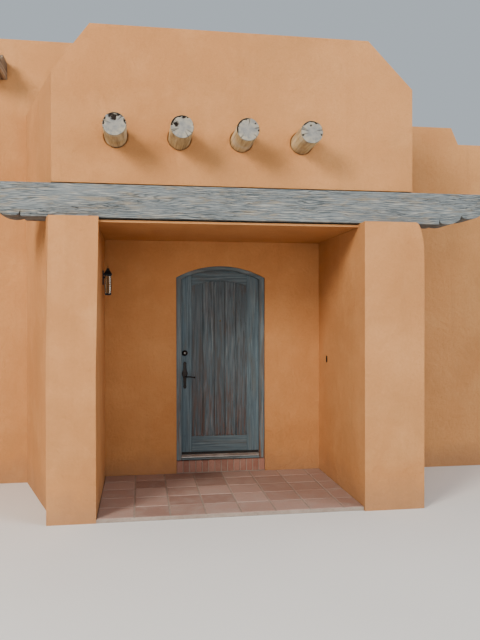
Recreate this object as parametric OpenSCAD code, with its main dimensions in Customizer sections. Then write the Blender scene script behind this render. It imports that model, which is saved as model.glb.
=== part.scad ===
// Adobe house with a flat roof, parapets, a deep entry alcove under a timber beam,
// four projecting roof logs and an arched plank door.
// X runs along the front, Y into the house, Z up. All sizes in millimetres.
// The origin is on the ground, under the middle of the whole house.

/* [Walls] */
// Width of the whole house along the front
house_w = 10400; // [10000:100:11000]
// Back face of the house, measured from the entry's front face
house_back = 7800; // [7400:100:8200]
// Thickness of the adobe walls
wall_t = 380; // [340:10:400]
// Height of the main block's parapet over the porch floor
main_top = 4860; // [4700:10:5000]
// Height of the right wing's parapet over the porch floor
wing_top = 3900; // [3850:10:3950]
// How much higher the part of the wing's parapet beside the entry is
wing_step = 200; // [150:10:250]
// Width of that higher part
wing_step_w = 1123; // [1050:1:1200]
// Depth of the ground below the porch floor
ground_drop = 40; // [30:5:80]

/* [Roof] */
// Top of the main block's roof deck over the porch floor
main_roof_top = 4460; // [4420:10:4500]
// Top of the right wing's roof deck over the porch floor
wing_roof_top = 3570; // [3500:10:3650]
// Thickness of the main roof
main_roof_t = 350; // [250:10:400]
// Thickness of the wing and entry roofs
low_roof_t = 300; // [200:10:300]

/* [Entry] */
// Width of the entry's front wall
entry_w = 3433; // [3400:1:3460]
// Height of the entry's parapet over the porch floor
entry_top = 4470; // [4400:10:4520]
// Height at which the parapet's sloped shoulders start
shoulder_z = 4020; // [3960:10:4100]
// Width of the left shoulder
shoulder_l = 340; // [300:10:400]
// Width of the right shoulder
shoulder_r = 450; // [400:10:500]
// Depth of the entry, from its front face to the door wall
alcove_d = 1425; // [1380:5:1470]
// Sideways slant of the entry's left wall over that depth
left_slant = 453; // [400:1:500]
// Height of the porch ceiling
ceiling_z = 2665; // [2640:5:2675]
// Thickness of the front wall over the beam
front_t = 265; // [255:5:280]

/* [Piers] */
// Width of the left pier
pier_l_w = 419; // [400:1:440]
// Width of the right pier
pier_r_w = 592; // [570:1:610]
// How far the left pier stands in front of the wall
pier_l_out = 158; // [140:1:180]
// How far the right pier stands in front of the wall
pier_r_out = 180; // [150:1:200]
// How far each pier stands past the side of the entry
pier_side = 22; // [10:1:30]
// How much further the left pier's outer edge stands out at its foot
pier_l_foot = 11; // [0:1:16]
// How far the left pier's inner edge leans inwards at its top
pier_l_lean = 29; // [0:1:36]

/* [Beam] */
// Underside of the beam over the porch floor
beam_z = 2699; // [2690:1:2710]
// Height of the beam
beam_h = 306; // [290:1:320]
// How far the beam stands in front of the wall
beam_out = 40; // [30:1:50]
// Length of each scalloped tail past the side of the entry
tail = 780; // [740:10:800]

/* [Roof logs] */
// Number of roof logs in the entry's front wall
logs = 4; // [4]
// Diameter of a log
log_d = 210; // [190:1:220]
// Height of the logs' axes over the porch floor
log_z = 3454; // [3430:1:3480]
// Spacing of the logs
log_gap = 582; // [570:1:590]
// Place of the first log from the entry's left edge
log_first = 573; // [560:1:590]
// How far the logs stick out
log_out = 390; // [300:10:420]
// How deep the logs sit in the door wall
log_in = 150; // [100:10:200]

/* [Door] */
// Width of the door as it shows between the jambs
door_w = 914; // [900:1:920]
// Height of the door's crown over the porch floor
door_crown = 2342; // [2320:1:2360]
// Underside of the door over the porch floor
door_bottom = 201; // [198:1:206]
// Rise of the door's arch
door_rise = 108; // [90:1:120]
// Thickness of the door
door_t = 45; // [40:1:50]
// Width of a jamb
jamb = 60; // [55:1:65]
// Depth of the door frame behind the wall's face
frame_back = 30; // [20:1:40]
// How far the lever turns down
lever_angle = 45; // [45]

/* [Windows] */
// Width of a window
win_w = 900; // [800:10:940]
// Height of a window
win_h = 1200; // [1000:10:1300]
// Height of the window sills over the porch floor
win_z = 1080; // [1000:10:1150]
// Depth of the window frames behind the wall's face
win_in = 180; // [150:5:200]

/* [Roof drains] */
// Width of a drain trough
drain_w = 280; // [240:10:300]
// Height of a drain trough
drain_h = 186; // [176:2:196]
// How far a trough sticks out of the wall
drain_out = 450; // [420:10:500]
// Width of the trough that drains the entry's roof
entry_drain_w = 200; // [180:10:220]
// Height of that trough
entry_drain_h = 190; // [170:10:200]

/* [Bell button] */
// Distance of the bell button behind the entry's front face
bell_y = 1085; // [1000:5:1200]
// Height of the bell button over the porch floor
bell_z = 1317; // [1150:1:1450]
// Height of the bell's plate
bell_h = 76; // [60:2:90]
// Width of the bell's plate
bell_w = 28; // [24:1:34]

/* [Hidden] */
$fn = 96;

half = entry_w / 2;
ground = -ground_drop;
inner_l = -half - pier_side + pier_l_w;    // left side of the alcove
inner_r = half + pier_side + 22 - pier_r_w; // right side of the alcove
face_y = alcove_d;                          // front face of the house walls
in_y = alcove_d + wall_t;                   // inner face of the front walls
back_in = house_back - wall_t;              // inner face of the back wall
side = house_w / 2;
side_in = side - wall_t;
step_x0 = half - wall_t;                    // wall between the two roof heights
floor_z = 180;                              // finished floor indoors
upper_z = 2700;                             // joint between door wall and wall over it
lean_z = 1300;                              // the left pier leans above this height
wing_ceil = wing_roof_top - low_roof_t;
main_ceil = main_roof_top - main_roof_t;
entry_roof_z = log_z + log_d / 2;
beam_top = beam_z + beam_h;

// Door arch: every arc in it shares one centre
arc_r = (pow(door_w / 2, 2) + pow(door_rise, 2)) / (2 * door_rise);
arc_z = door_crown - arc_r;
overlap = 12;                               // how far the door laps behind the stops
leaf_hw = door_w / 2 + overlap;
leaf_y = face_y + frame_back + 50;          // front face of the door
leaf_back = leaf_y + door_t;
niche_y = leaf_back + 5;                    // back of the frame, front of the deep niche
outer_hw = door_w / 2 + jamb;
outer_r = arc_r + 42;
niche_hw = 541;
niche_top = 2500;
pin_x = leaf_hw + 12;
pin_y = leaf_back + 16;
handle_x = -415;
handle_z = 1100;

y_mid = (house_back + drain_out - log_out) / 2;

// Moves the drawing frame, whose zero is the porch floor at the entry's front face,
// to the origin of the part
module placed() { translate([0, -y_mid, ground_drop]) children(); }

module box(x0, x1, y0, y1, z0, z1) {
  translate([x0, y0, z0]) cube([x1 - x0, y1 - y0, z1 - z0]);
}
// An outline in X and Z, extruded along Y
module along_y(y0, y1) {
  translate([0, y1, 0]) rotate([90, 0, 0]) linear_extrude(height = y1 - y0) children();
}
// An outline in Y and Z, extruded along X
module along_x(x0, x1) {
  translate([x0, 0, 0]) rotate([90, 0, 90]) linear_extrude(height = x1 - x0) children();
}
// An arched outline: straight sides at x0 and x1, a round head of radius r
module arched(x0, x1, z0, r) {
  intersection() {
    translate([x0, z0]) square([x1 - x0, arc_z + r - z0 + 10]);
    translate([0, arc_z]) circle(r = r);
  }
}
module arched_box(x0, x1, z0, r) {
  // the part of the outline below the arch's springing is a plain rectangle
  union() {
    arched(x0, x1, z0 + 900, r);
    translate([x0, z0]) square([x1 - x0, 901]);
  }
}

function log_x(i) = -half + log_first + i * log_gap;

// ---- entry ----
module entry_parapet_wall() color([0.80, 0.55, 0.34]) placed() difference() {
  union() {
    along_y(0, front_t) polygon([
      [-half, beam_top], [half, beam_top], [half, shoulder_z],
      [half - shoulder_r, entry_top], [-half + shoulder_l, entry_top], [-half, shoulder_z]]);
    translate([0, 0, beam_top]) linear_extrude(height = shoulder_z - beam_top)
      polygon([[-half + 1, 0], [-half, 0], [-half - left_slant * front_t / alcove_d, front_t], [-half + 1, front_t]]);
  }
  for (i = [0 : logs - 1])
    translate([log_x(i), front_t + 1, log_z]) rotate([90, 0, 0]) cylinder(d = log_d, h = front_t + 2);
}

// Underside of a tail at a distance s past the wall: a flat, a nick, then two lobes
function lobe(s, cs, cz, r) = cz - sqrt(r * r - pow(s - cs, 2));
tail_pts = concat(
  [[0, 0], [265, 0], [265, 45]],
  [for (s = [281 : 15 : 496]) [s, lobe(s, 345, 224, 220)]],
  [[500, 92]],
  [for (s = [514 : 14 : tail - 14]) [s, lobe(s, 575, 275, 215)]],
  [[tail, lobe(tail - 4, 575, 275, 215)], [tail, beam_h]]);
module entry_beam() color([0.50, 0.53, 0.52]) placed() along_y(-beam_out, front_t)
  polygon(concat(
    [for (p = tail_pts) [half + p[0], beam_z + p[1]]],
    [for (i = [len(tail_pts) - 1 : -1 : 0]) [-half - tail_pts[i][0], beam_z + tail_pts[i][1]]]));

// Left pier: straight up to lean_z, then its front edges lean inwards
function pier_plan(z, t) = [
  [-half - pier_side - pier_l_foot + (pier_l_foot + pier_l_lean / 2) * t, -pier_l_out, z],
  [inner_l + pier_l_lean * t, -pier_l_out, z], [inner_l, 0, z], [inner_l, front_t, z],
  [-half - left_slant * front_t / alcove_d, front_t, z], [-half - 45, 0, z]];
module entry_pier_left() color([0.68, 0.46, 0.36]) placed()
  polyhedron(
    points = concat(pier_plan(ground, 0), pier_plan(lean_z, 0), pier_plan(beam_z, 1)),
    faces = concat(
      [[0, 1, 2, 3, 4, 5], [17, 16, 15, 14, 13, 12]],
      [for (k = [0, 6], i = [0 : 5]) [k + i, k + i + 6, k + (i + 1) % 6 + 6]],
      [for (k = [0, 6], i = [0 : 5]) [k + i, k + (i + 1) % 6 + 6, k + (i + 1) % 6]]));

// Right pier: its outer top shoulder is rounded off
module entry_pier_right() color([0.68, 0.46, 0.36]) placed() along_y(-pier_r_out, front_t)
  polygon(concat(
    [[inner_r, ground], [half + 44, ground]],
    [for (a = [0 : 7.5 : 90]) [half + 44 - 85 + 85 * cos(a), beam_z - 330 + 330 * sin(a)]],
    [[inner_r, beam_z]]));

module entry_wall_left() color([0.74, 0.48, 0.30]) placed()
  translate([0, 0, ground]) linear_extrude(height = shoulder_z - ground) polygon([
    [-half - left_slant * front_t / alcove_d, front_t], [inner_l, front_t],
    [inner_l, alcove_d], [-half - left_slant, alcove_d]]);
module entry_wall_right() color([0.74, 0.48, 0.30]) placed()
  difference() {
    box(inner_r, half, front_t, alcove_d, ground, shoulder_z);
    box(inner_r - 1, half + 1, entry_drain_y, entry_drain_y + entry_drain_w,
      entry_roof_z + 150, entry_roof_z + 150 + entry_drain_h);
  }
module entry_roof() color([0.62, 0.56, 0.48]) placed()
  box(inner_l, inner_r, front_t, alcove_d, entry_roof_z, entry_roof_z + 200);
module alcove_ceiling() color([0.72, 0.44, 0.27]) placed() along_x(inner_l, inner_r) polygon([
  [8, ceiling_z], [alcove_d, ceiling_z], [alcove_d, ceiling_z + 135], [front_t, ceiling_z + 135],
  [front_t, beam_z], [70, beam_z], [70, ceiling_z + 22], [8, ceiling_z + 22]]);
module porch_floor() color([0.60, 0.47, 0.42]) placed()
  box(inner_l, inner_r, -pier_l_out, alcove_d, ground, 0);

// ---- front walls ----
module alcove_wall_left() color([0.74, 0.44, 0.26]) placed()
  translate([0, 0, ground]) linear_extrude(height = upper_z - ground) polygon([
    [inner_l, face_y], [-outer_hw, face_y], [-outer_hw, niche_y], [-niche_hw, niche_y],
    [-niche_hw, in_y], [inner_l, in_y]]);
module alcove_wall_right() color([0.74, 0.44, 0.26]) placed()
  translate([0, 0, ground]) linear_extrude(height = upper_z - ground) polygon([
    [outer_hw, face_y], [inner_r, face_y], [inner_r, in_y], [niche_hw, in_y],
    [niche_hw, niche_y], [outer_hw, niche_y]]);
module alcove_wall_over_door() color([0.74, 0.44, 0.26]) placed() union() {
  along_y(face_y, niche_y) difference() {
    translate([-outer_hw, 2200]) square([2 * outer_hw, upper_z - 2200]);
    translate([0, arc_z]) circle(r = outer_r);
  }
  box(-niche_hw, niche_hw, niche_y, in_y, niche_top, upper_z);
}
module front_wall_upper() color([0.80, 0.55, 0.34]) placed() difference() {
  box(inner_l, inner_r, face_y, in_y, upper_z, main_top);
  for (i = [0 : logs - 1])
    translate([log_x(i), face_y + log_in, log_z]) rotate([90, 0, 0]) cylinder(d = log_d, h = log_in + 1);
}
module front_wall_left() color([0.80, 0.55, 0.34]) placed() difference() {
  box(-side, inner_l, face_y, in_y, ground, main_top);
  box(drain_x, drain_x + drain_w, face_y - 1, in_y + 1, main_roof_top - 50, main_roof_top - 50 + drain_h);
}
module front_wall_right() color([0.80, 0.55, 0.34]) placed() difference() {
  box(inner_r, half, face_y, in_y, ground, main_top);
  box(header_x0, header_x1, in_y - header_in, in_y + 1, wing_ceil - header_h, wing_ceil);
}
module wing_front_wall() color([0.74, 0.50, 0.32]) placed() difference() {
  along_y(face_y, in_y) polygon([
    [half, ground], [side, ground], [side, wing_top], [half + wing_step_w + 90, wing_top],
    [half + wing_step_w, wing_top + wing_step], [half, wing_top + wing_step]]);
  window_hole_y(wing_win_x, face_y);
}

// ---- other outer walls ----
module wing_side_wall() color([0.74, 0.50, 0.32]) placed() difference() {
  box(side_in, side, in_y, back_in, ground, wing_top);
  for (y = side_win_y) window_hole_x(side_in, y);
}
module wing_back_wall() color([0.74, 0.50, 0.32]) placed() difference() {
  box(half, side, back_in, house_back, ground, wing_top);
  window_hole_y(wing_win_x, back_in);
  box(wing_drain_x, wing_drain_x + drain_w, back_in - 1, house_back + 1, wing_roof_top - 50, wing_roof_top - 50 + drain_h);
}
module side_wall_left() color([0.80, 0.55, 0.34]) placed() difference() {
  box(-side, -side_in, in_y, back_in, ground, main_top);
  for (y = side_win_y) window_hole_x(-side, y);
}
module back_wall() color([0.80, 0.55, 0.34]) placed() difference() {
  box(-side, half, back_in, house_back, ground, main_top);
  for (x = back_win_x) window_hole_y(x, back_in);
  for (x = back_drain_x)
    box(x, x + drain_w, back_in - 1, house_back + 1, main_roof_top - 50, main_roof_top - 50 + drain_h);
  box(header_x0, header_x1, back_in - 1, back_in + header_in, wing_ceil - header_h, wing_ceil);
}

// The main block's end wall where it stands over the lower wing, on a timber beam
header_h = 320;
header_in = 150;
header_x0 = step_x0 + 40;
header_x1 = half - 40;
module roof_step_wall() color([0.80, 0.55, 0.34]) placed()
  box(step_x0, half, in_y, back_in, wing_ceil, main_top);
module roof_step_beam() color([0.48, 0.38, 0.28]) placed()
  box(header_x0, header_x1, in_y - header_in, back_in + header_in, wing_ceil - header_h, wing_ceil);

module main_roof() color([0.60, 0.55, 0.48]) placed()
  box(-side_in, step_x0, in_y, back_in, main_ceil, main_roof_top);
module wing_roof() color([0.60, 0.55, 0.48]) placed()
  box(half, side_in, in_y, back_in, wing_ceil, wing_roof_top);
module floor_slab() color([0.60, 0.44, 0.36]) placed() union() {
  box(-side_in, side_in, in_y, back_in, ground, floor_z);
  box(-niche_hw, niche_hw, niche_y, in_y + 1, ground, floor_z);
}

// ---- door ----
module door_step() color([0.56, 0.34, 0.27]) placed()
  box(-outer_hw, outer_hw, face_y, niche_y, ground, 140);
module door_threshold() color([0.55, 0.52, 0.48]) placed()
  box(-door_w / 2, door_w / 2, face_y + frame_back - 8, niche_y, 140, door_bottom - 6);
module door_frame() color([0.40, 0.42, 0.38]) placed() difference() {
  along_y(face_y + frame_back, niche_y) arched_box(-outer_hw, outer_hw, 140, outer_r);
  along_y(face_y + frame_back - 1, niche_y + 1) arched_box(-door_w / 2, door_w / 2, 139, arc_r);
  along_y(leaf_y - 5, niche_y + 1) arched_box(-leaf_hw - 8, leaf_hw + 7, 139, arc_r + overlap + 7);
}
hinge_z = [420, 1270, 2050];
module door_hinges() color([0.16, 0.15, 0.15]) placed() for (z = hinge_z) union() {
  translate([pin_x, pin_y, z]) cylinder(r = 7, h = 100);
  box(pin_x, outer_hw - 4, niche_y, niche_y + 4, z, z + 100);
  box(pin_x, pin_x + 7, niche_y, pin_y, z, z + 100);
}
// Arched door: stiles and rails round a recessed field of planks, on both faces
panel_x0 = -336;
panel_x1 = 316;
panel_z0 = 404;
panel_r = arc_r - 122;
module front_door() color([0.36, 0.40, 0.37]) placed() difference() {
  along_y(leaf_y, leaf_back) arched_box(-leaf_hw, leaf_hw, door_bottom, arc_r + overlap);
  along_y(leaf_y - 1, leaf_y + 9) arched_box(panel_x0, panel_x1, panel_z0, panel_r);
  along_y(leaf_back - 9, leaf_back + 1) arched_box(panel_x0, panel_x1, panel_z0, panel_r);
  translate([handle_x, leaf_back + 1, handle_z]) rotate([90, 0, 0]) cylinder(r = 8.05, h = door_t + 2);
}
// Long narrow plates with a wider middle, outside and inside
module plate_outline() union() {
  translate([handle_x - 20, 963]) square([40, 313]);
  translate([handle_x, 1137]) circle(r = 34);
}
module door_escutcheon() color([0.12, 0.12, 0.13]) placed() for (y = [leaf_y - 6, leaf_back]) difference() {
  along_y(y, y + 6) plate_outline();
  translate([handle_x, y + 7, handle_z]) rotate([90, 0, 0]) cylinder(r = 8.05, h = 8);
}
module door_deadbolt() color([0.12, 0.12, 0.13]) placed() {
  translate([handle_x, leaf_y, 1376]) rotate([90, 0, 0]) cylinder(r1 = 33, r2 = 26, h = 14);
  translate([handle_x, leaf_back, 1376]) rotate([-90, 0, 0]) cylinder(r1 = 33, r2 = 26, h = 14);
}
module door_peephole() color([0.25, 0.22, 0.18]) placed()
  translate([0, leaf_y + 9, 1750]) rotate([90, 0, 0]) cylinder(r = 9, h = 14);
// A lever on each face on one spindle, each with a round end
module lever_arm(y) union() {
  translate([handle_x, y, handle_z]) rotate([0, 90, 0]) cylinder(r = 7.5, h = 108);
  translate([handle_x + 112, y, handle_z]) sphere(r = 11);
}
module door_lever() color([0.12, 0.12, 0.13]) placed() union() {
  translate([handle_x, leaf_back + 55, handle_z]) rotate([90, 0, 0]) cylinder(r = 8, h = door_t + 110);
  lever_arm(leaf_y - 47);
  lever_arm(leaf_back + 47);
}

// ---- roof logs ----
module roof_log(i) color([0.66, 0.56, 0.42]) placed()
  translate([log_x(i), face_y + log_in, log_z]) rotate([90, 0, 0]) cylinder(d = log_d, h = face_y + log_in + log_out);
module roof_log_1() { roof_log(0); }
module roof_log_2() { roof_log(1); }
module roof_log_3() { roof_log(2); }
module roof_log_4() { roof_log(3); }

// ---- windows ----
lintel_w = win_w + 400;
lintel_h = 180;
wing_win_x = 4000;
back_win_x = [-3400, -900];
side_win_y = [3300, 5900];
// A window hole with the slot of its lintel, in a wall along X or along Y
module window_hole_y(x, y) {
  box(x - win_w / 2, x + win_w / 2, y - 1, y + wall_t + 1, win_z, win_z + win_h + 1);
  box(x - lintel_w / 2, x + lintel_w / 2, y - 1, y + wall_t + 1, win_z + win_h, win_z + win_h + lintel_h);
}
module window_hole_x(x, y) {
  box(x - 1, x + wall_t + 1, y - win_w / 2, y + win_w / 2, win_z, win_z + win_h + 1);
  box(x - 1, x + wall_t + 1, y - lintel_w / 2, y + lintel_w / 2, win_z + win_h, win_z + win_h + lintel_h);
}
// Flat window parts, drawn from the outside: s is sideways, z up
module sash_outline() difference() {
  translate([-win_w / 2, win_z]) square([win_w, win_h]);
  glass_outline();
}
module glass_outline() for (m = [0, 1]) mirror([m, 0])
  translate([24, win_z + 60]) square([win_w / 2 - 84, win_h - 120]);
// Every window: sideways place, face, and which wall it is in
module each_window(inset, t) {
  translate([wing_win_x, 0, 0]) along_y(face_y + inset, face_y + inset + t) children();
  translate([wing_win_x, 0, 0]) along_y(house_back - inset - t, house_back - inset) children();
  for (x = back_win_x) translate([x, 0, 0]) along_y(house_back - inset - t, house_back - inset) children();
  for (y = side_win_y) {
    translate([0, y, 0]) along_x(-side + inset, -side + inset + t) children();
    translate([0, y, 0]) along_x(side - inset - t, side - inset) children();
  }
}
module window_frames() color([0.36, 0.42, 0.40]) placed() each_window(win_in, 70) sash_outline();
module window_glass() color([0.60, 0.70, 0.72, 0.4]) placed() each_window(win_in + 28, 12) glass_outline();
module window_lintels() color([0.46, 0.40, 0.34]) placed() each_window(0, wall_t)
  translate([-lintel_w / 2, win_z + win_h]) square([lintel_w, lintel_h]);

// ---- roof drains ----
drain_x = -2648;
wing_drain_x = 3300;
back_drain_x = [-4200, 100];
entry_drain_y = 1130;
// Cheek of a trough: top rising a little, then a slope, a round bump, a nick and a thin lip at the mouth
module drain_side(t, h) translate([t - drain_out, 0]) {
  polygon([
    [drain_out - t, 0], [332, 0], [342, 12], [drain_out, 14], [drain_out, 40], [380, 40], [378, 63],
    [350, 63], [326, 98], [290, 121], [271, 124], [203, h + 12], [0, h], [drain_out - t, h]]);
  translate([326, 98]) circle(d = 80);
}
module drain(t, w = drain_w, h = drain_h) difference() {
  along_x(0, w) drain_side(t, h);
  box(40, w - 40, -1, t + 1, 40, h + 1);
}
module roof_drain_front() color([0.55, 0.44, 0.32]) placed()
  translate([drain_x + drain_w, in_y, main_roof_top - 50]) rotate([0, 0, 180]) drain(wall_t + drain_out);
// Two on the main block's back, one on the wing's back, one on the entry's right side
module roof_drains() color([0.55, 0.44, 0.32]) placed() {
  for (x = back_drain_x) translate([x, back_in, main_roof_top - 50]) drain(wall_t + drain_out);
  translate([wing_drain_x, back_in, wing_roof_top - 50]) drain(wall_t + drain_out);
  translate([inner_r, entry_drain_y + entry_drain_w, entry_roof_z + 150]) rotate([0, 0, -90])
    drain(half - inner_r + drain_out, entry_drain_w, entry_drain_h);
}

// ---- wall lantern on the alcove's left wall ----
module porch_lantern() color([0.14, 0.16, 0.18]) placed() translate([inner_l, 1000, 2030]) union() {
  box(0, 12, -45, 45, 110, 260);
  box(0, 60, -10, 10, 300, 316);
  translate([55, 0, 0]) cylinder(r = 38, h = 16);
  translate([55, 0, 15]) cylinder(r = 34, h = 196);
  translate([55, 0, 210]) cylinder(r1 = 44, r2 = 12, h = 80);
  translate([55, 0, 289]) cylinder(r = 10, h = 40);
  box(0, 55, -8, 8, 180, 200);
}

// ---- bell button on the alcove's right wall ----
module doorbell() color([0.10, 0.10, 0.11]) placed()
  translate([inner_r, bell_y, bell_z]) rotate([0, -90, 0]) union() {
    linear_extrude(height = 9) union() {
      square([bell_h - bell_w, bell_w], center = true);
      for (s = [-1, 1]) translate([s * (bell_h - bell_w) / 2, 0]) circle(d = bell_w);
    }
    cylinder(d = 15, h = 13);
  }

entry_parapet_wall();
entry_beam();
entry_pier_left();
entry_pier_right();
entry_wall_left();
entry_wall_right();
entry_roof();
alcove_ceiling();
porch_floor();
alcove_wall_left();
alcove_wall_right();
alcove_wall_over_door();
front_wall_upper();
front_wall_left();
front_wall_right();
wing_front_wall();
wing_side_wall();
wing_back_wall();
side_wall_left();
back_wall();
roof_step_wall();
roof_step_beam();
main_roof();
wing_roof();
floor_slab();
door_step();
door_threshold();
door_frame();
door_hinges();
front_door();
door_escutcheon();
door_deadbolt();
door_peephole();
door_lever();
roof_log_1();
roof_log_2();
roof_log_3();
roof_log_4();
window_frames();
window_glass();
window_lintels();
roof_drain_front();
roof_drains();
porch_lantern();
doorbell();
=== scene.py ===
import math
import random

import bmesh
import bpy
from mathutils import Matrix, Vector, noise


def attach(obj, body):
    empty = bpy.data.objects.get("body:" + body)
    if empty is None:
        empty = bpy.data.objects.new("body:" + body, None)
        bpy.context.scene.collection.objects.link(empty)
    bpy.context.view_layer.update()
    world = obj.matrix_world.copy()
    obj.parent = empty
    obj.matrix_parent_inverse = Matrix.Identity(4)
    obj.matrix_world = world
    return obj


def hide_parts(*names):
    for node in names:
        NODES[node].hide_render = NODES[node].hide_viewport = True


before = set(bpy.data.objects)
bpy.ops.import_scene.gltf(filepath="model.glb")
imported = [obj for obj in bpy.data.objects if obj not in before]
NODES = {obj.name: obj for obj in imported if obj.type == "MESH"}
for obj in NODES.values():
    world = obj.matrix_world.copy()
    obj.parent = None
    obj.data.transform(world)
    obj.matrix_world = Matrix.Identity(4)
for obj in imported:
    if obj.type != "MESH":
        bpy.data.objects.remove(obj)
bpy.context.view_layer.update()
OX, OY, OZ = 0.0, -3.930, 0.040     # drawing frame (porch floor, entry face) to the row frame
HOUSE, DOOR, LEVER = "house", "door", "lever"


def P(x, y, z):
    return (x + OX, y + OY, z + OZ)


# ------------------------------------------------------------------ camera
YAW, PITCH, ROLL = (math.radians(a) for a in (8.743, -0.331, -0.092))
F = Vector((math.sin(YAW) * math.cos(PITCH), math.cos(YAW) * math.cos(PITCH), math.sin(PITCH)))
R = Vector((math.cos(YAW), -math.sin(YAW), 0))
U = R.cross(F)
R2 = R * math.cos(ROLL) + U * math.sin(ROLL)
U2 = U * math.cos(ROLL) - R * math.sin(ROLL)
cam = bpy.data.objects.new("camera", bpy.data.cameras.new("camera"))
bpy.context.scene.collection.objects.link(cam)
cam.matrix_world = Matrix((
    (R2.x, U2.x, -F.x, 0.787 - 1.7165), (R2.y, U2.y, -F.y, -6.066 + OY),
    (R2.z, U2.z, -F.z, 1.803 + OZ), (0, 0, 0, 1)))
cam.data.sensor_width = 36.0
cam.data.lens = 36.61
cam.data.clip_start, cam.data.clip_end = 0.05, 200
bpy.context.scene.camera = cam


# ------------------------------------------------------------------ materials
class Mat:
    def __init__(self, name):
        self.m = bpy.data.materials.new(name)
        self.m.use_nodes = True
        self.t = self.m.node_tree
        self.bsdf = self.t.nodes["Principled BSDF"]
        self.co = self.t.nodes.new("ShaderNodeTexCoord").outputs["Object"]

    def put(self, socket, v):
        if isinstance(v, bpy.types.NodeSocket):
            self.t.links.new(v, socket)
        else:
            socket.default_value = v

    def mapped(self, scale, src=None, loc=(0, 0, 0), rot=(0, 0, 0)):
        n = self.t.nodes.new("ShaderNodeMapping")
        self.put(n.inputs["Vector"], src or self.co)
        n.inputs["Scale"].default_value = scale
        n.inputs["Location"].default_value = loc
        n.inputs["Rotation"].default_value = rot
        return n.outputs[0]

    def noise(self, scale, detail=3.0, rough=0.5, dist=0.0, vec=None):
        n = self.t.nodes.new("ShaderNodeTexNoise")
        self.put(n.inputs["Vector"], vec or self.co)
        n.inputs["Scale"].default_value = scale
        n.inputs["Detail"].default_value = detail
        n.inputs["Roughness"].default_value = rough
        n.inputs["Distortion"].default_value = dist
        return n.outputs["Fac"]

    def voronoi(self, scale, vec=None, feature="F1", out="Distance"):
        n = self.t.nodes.new("ShaderNodeTexVoronoi")
        n.feature = feature
        self.put(n.inputs["Vector"], vec or self.co)
        n.inputs["Scale"].default_value = scale
        return n.outputs[out]

    def wave(self, scale, dist, vec=None, kind="BANDS", detail=2.0, dscale=1.0):
        n = self.t.nodes.new("ShaderNodeTexWave")
        n.wave_type = kind
        self.put(n.inputs["Vector"], vec or self.co)
        n.inputs["Scale"].default_value = scale
        n.inputs["Distortion"].default_value = dist
        n.inputs["Detail"].default_value = detail
        n.inputs["Detail Scale"].default_value = dscale
        return n.outputs["Fac"]

    def rng(self, v, a, b, c=0.0, d=1.0):
        n = self.t.nodes.new("ShaderNodeMapRange")
        self.put(n.inputs["Value"], v)
        for k, x in zip(("From Min", "From Max", "To Min", "To Max"), (a, b, c, d)):
            n.inputs[k].default_value = x
        return n.outputs[0]

    def math(self, op, a, b=0.0):
        n = self.t.nodes.new("ShaderNodeMath")
        n.operation = op
        self.put(n.inputs[0], a)
        self.put(n.inputs[1], b)
        return n.outputs[0]

    def mix(self, fac, a, b, mode="MIX"):
        n = self.t.nodes.new("ShaderNodeMix")
        n.data_type = "RGBA"
        n.blend_type = mode
        self.put(n.inputs[0], fac)
        for s, v in ((n.inputs[6], a), (n.inputs[7], b)):
            self.put(s, v if isinstance(v, bpy.types.NodeSocket) else (*v, 1.0))
        return n.outputs[2]

    def ramp(self, v, stops):
        n = self.t.nodes.new("ShaderNodeValToRGB")
        e = n.color_ramp.elements
        e[0].position, e[0].color = stops[0][0], (*stops[0][1], 1)
        e[1].position, e[1].color = stops[-1][0], (*stops[-1][1], 1)
        for p, c in stops[1:-1]:
            x = e.new(p)
            x.color = (*c, 1)
        self.put(n.inputs[0], v)
        return n.outputs[0]

    def sep(self, vec=None):
        n = self.t.nodes.new("ShaderNodeSeparateXYZ")
        self.put(n.inputs[0], vec or self.co)
        return n.outputs

    def normal_z(self):
        n = self.t.nodes.new("ShaderNodeNewGeometry")
        return self.sep(n.outputs["Normal"])[2]

    def attr(self, name):
        n = self.t.nodes.new("ShaderNodeAttribute")
        n.attribute_name = name
        return n.outputs["Fac"]

    def bump(self, h, dist, strength=1.0, prev=None):
        n = self.t.nodes.new("ShaderNodeBump")
        n.inputs["Strength"].default_value = strength
        n.inputs["Distance"].default_value = dist
        self.put(n.inputs["Height"], h)
        if prev:
            self.t.links.new(prev, n.inputs["Normal"])
        return n.outputs[0]

    def done(self, color=None, rough=None, normal=None, metallic=None, spec=None):
        i = self.bsdf.inputs
        if color is not None:
            self.put(i["Base Color"], color if isinstance(color, bpy.types.NodeSocket) else (*color, 1))
        if rough is not None:
            self.put(i["Roughness"], rough)
        if normal is not None:
            self.put(i["Normal"], normal)
        if metallic is not None:
            i["Metallic"].default_value = metallic
        if spec is not None:
            i["Specular IOR Level"].default_value = spec
        return self.m


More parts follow.
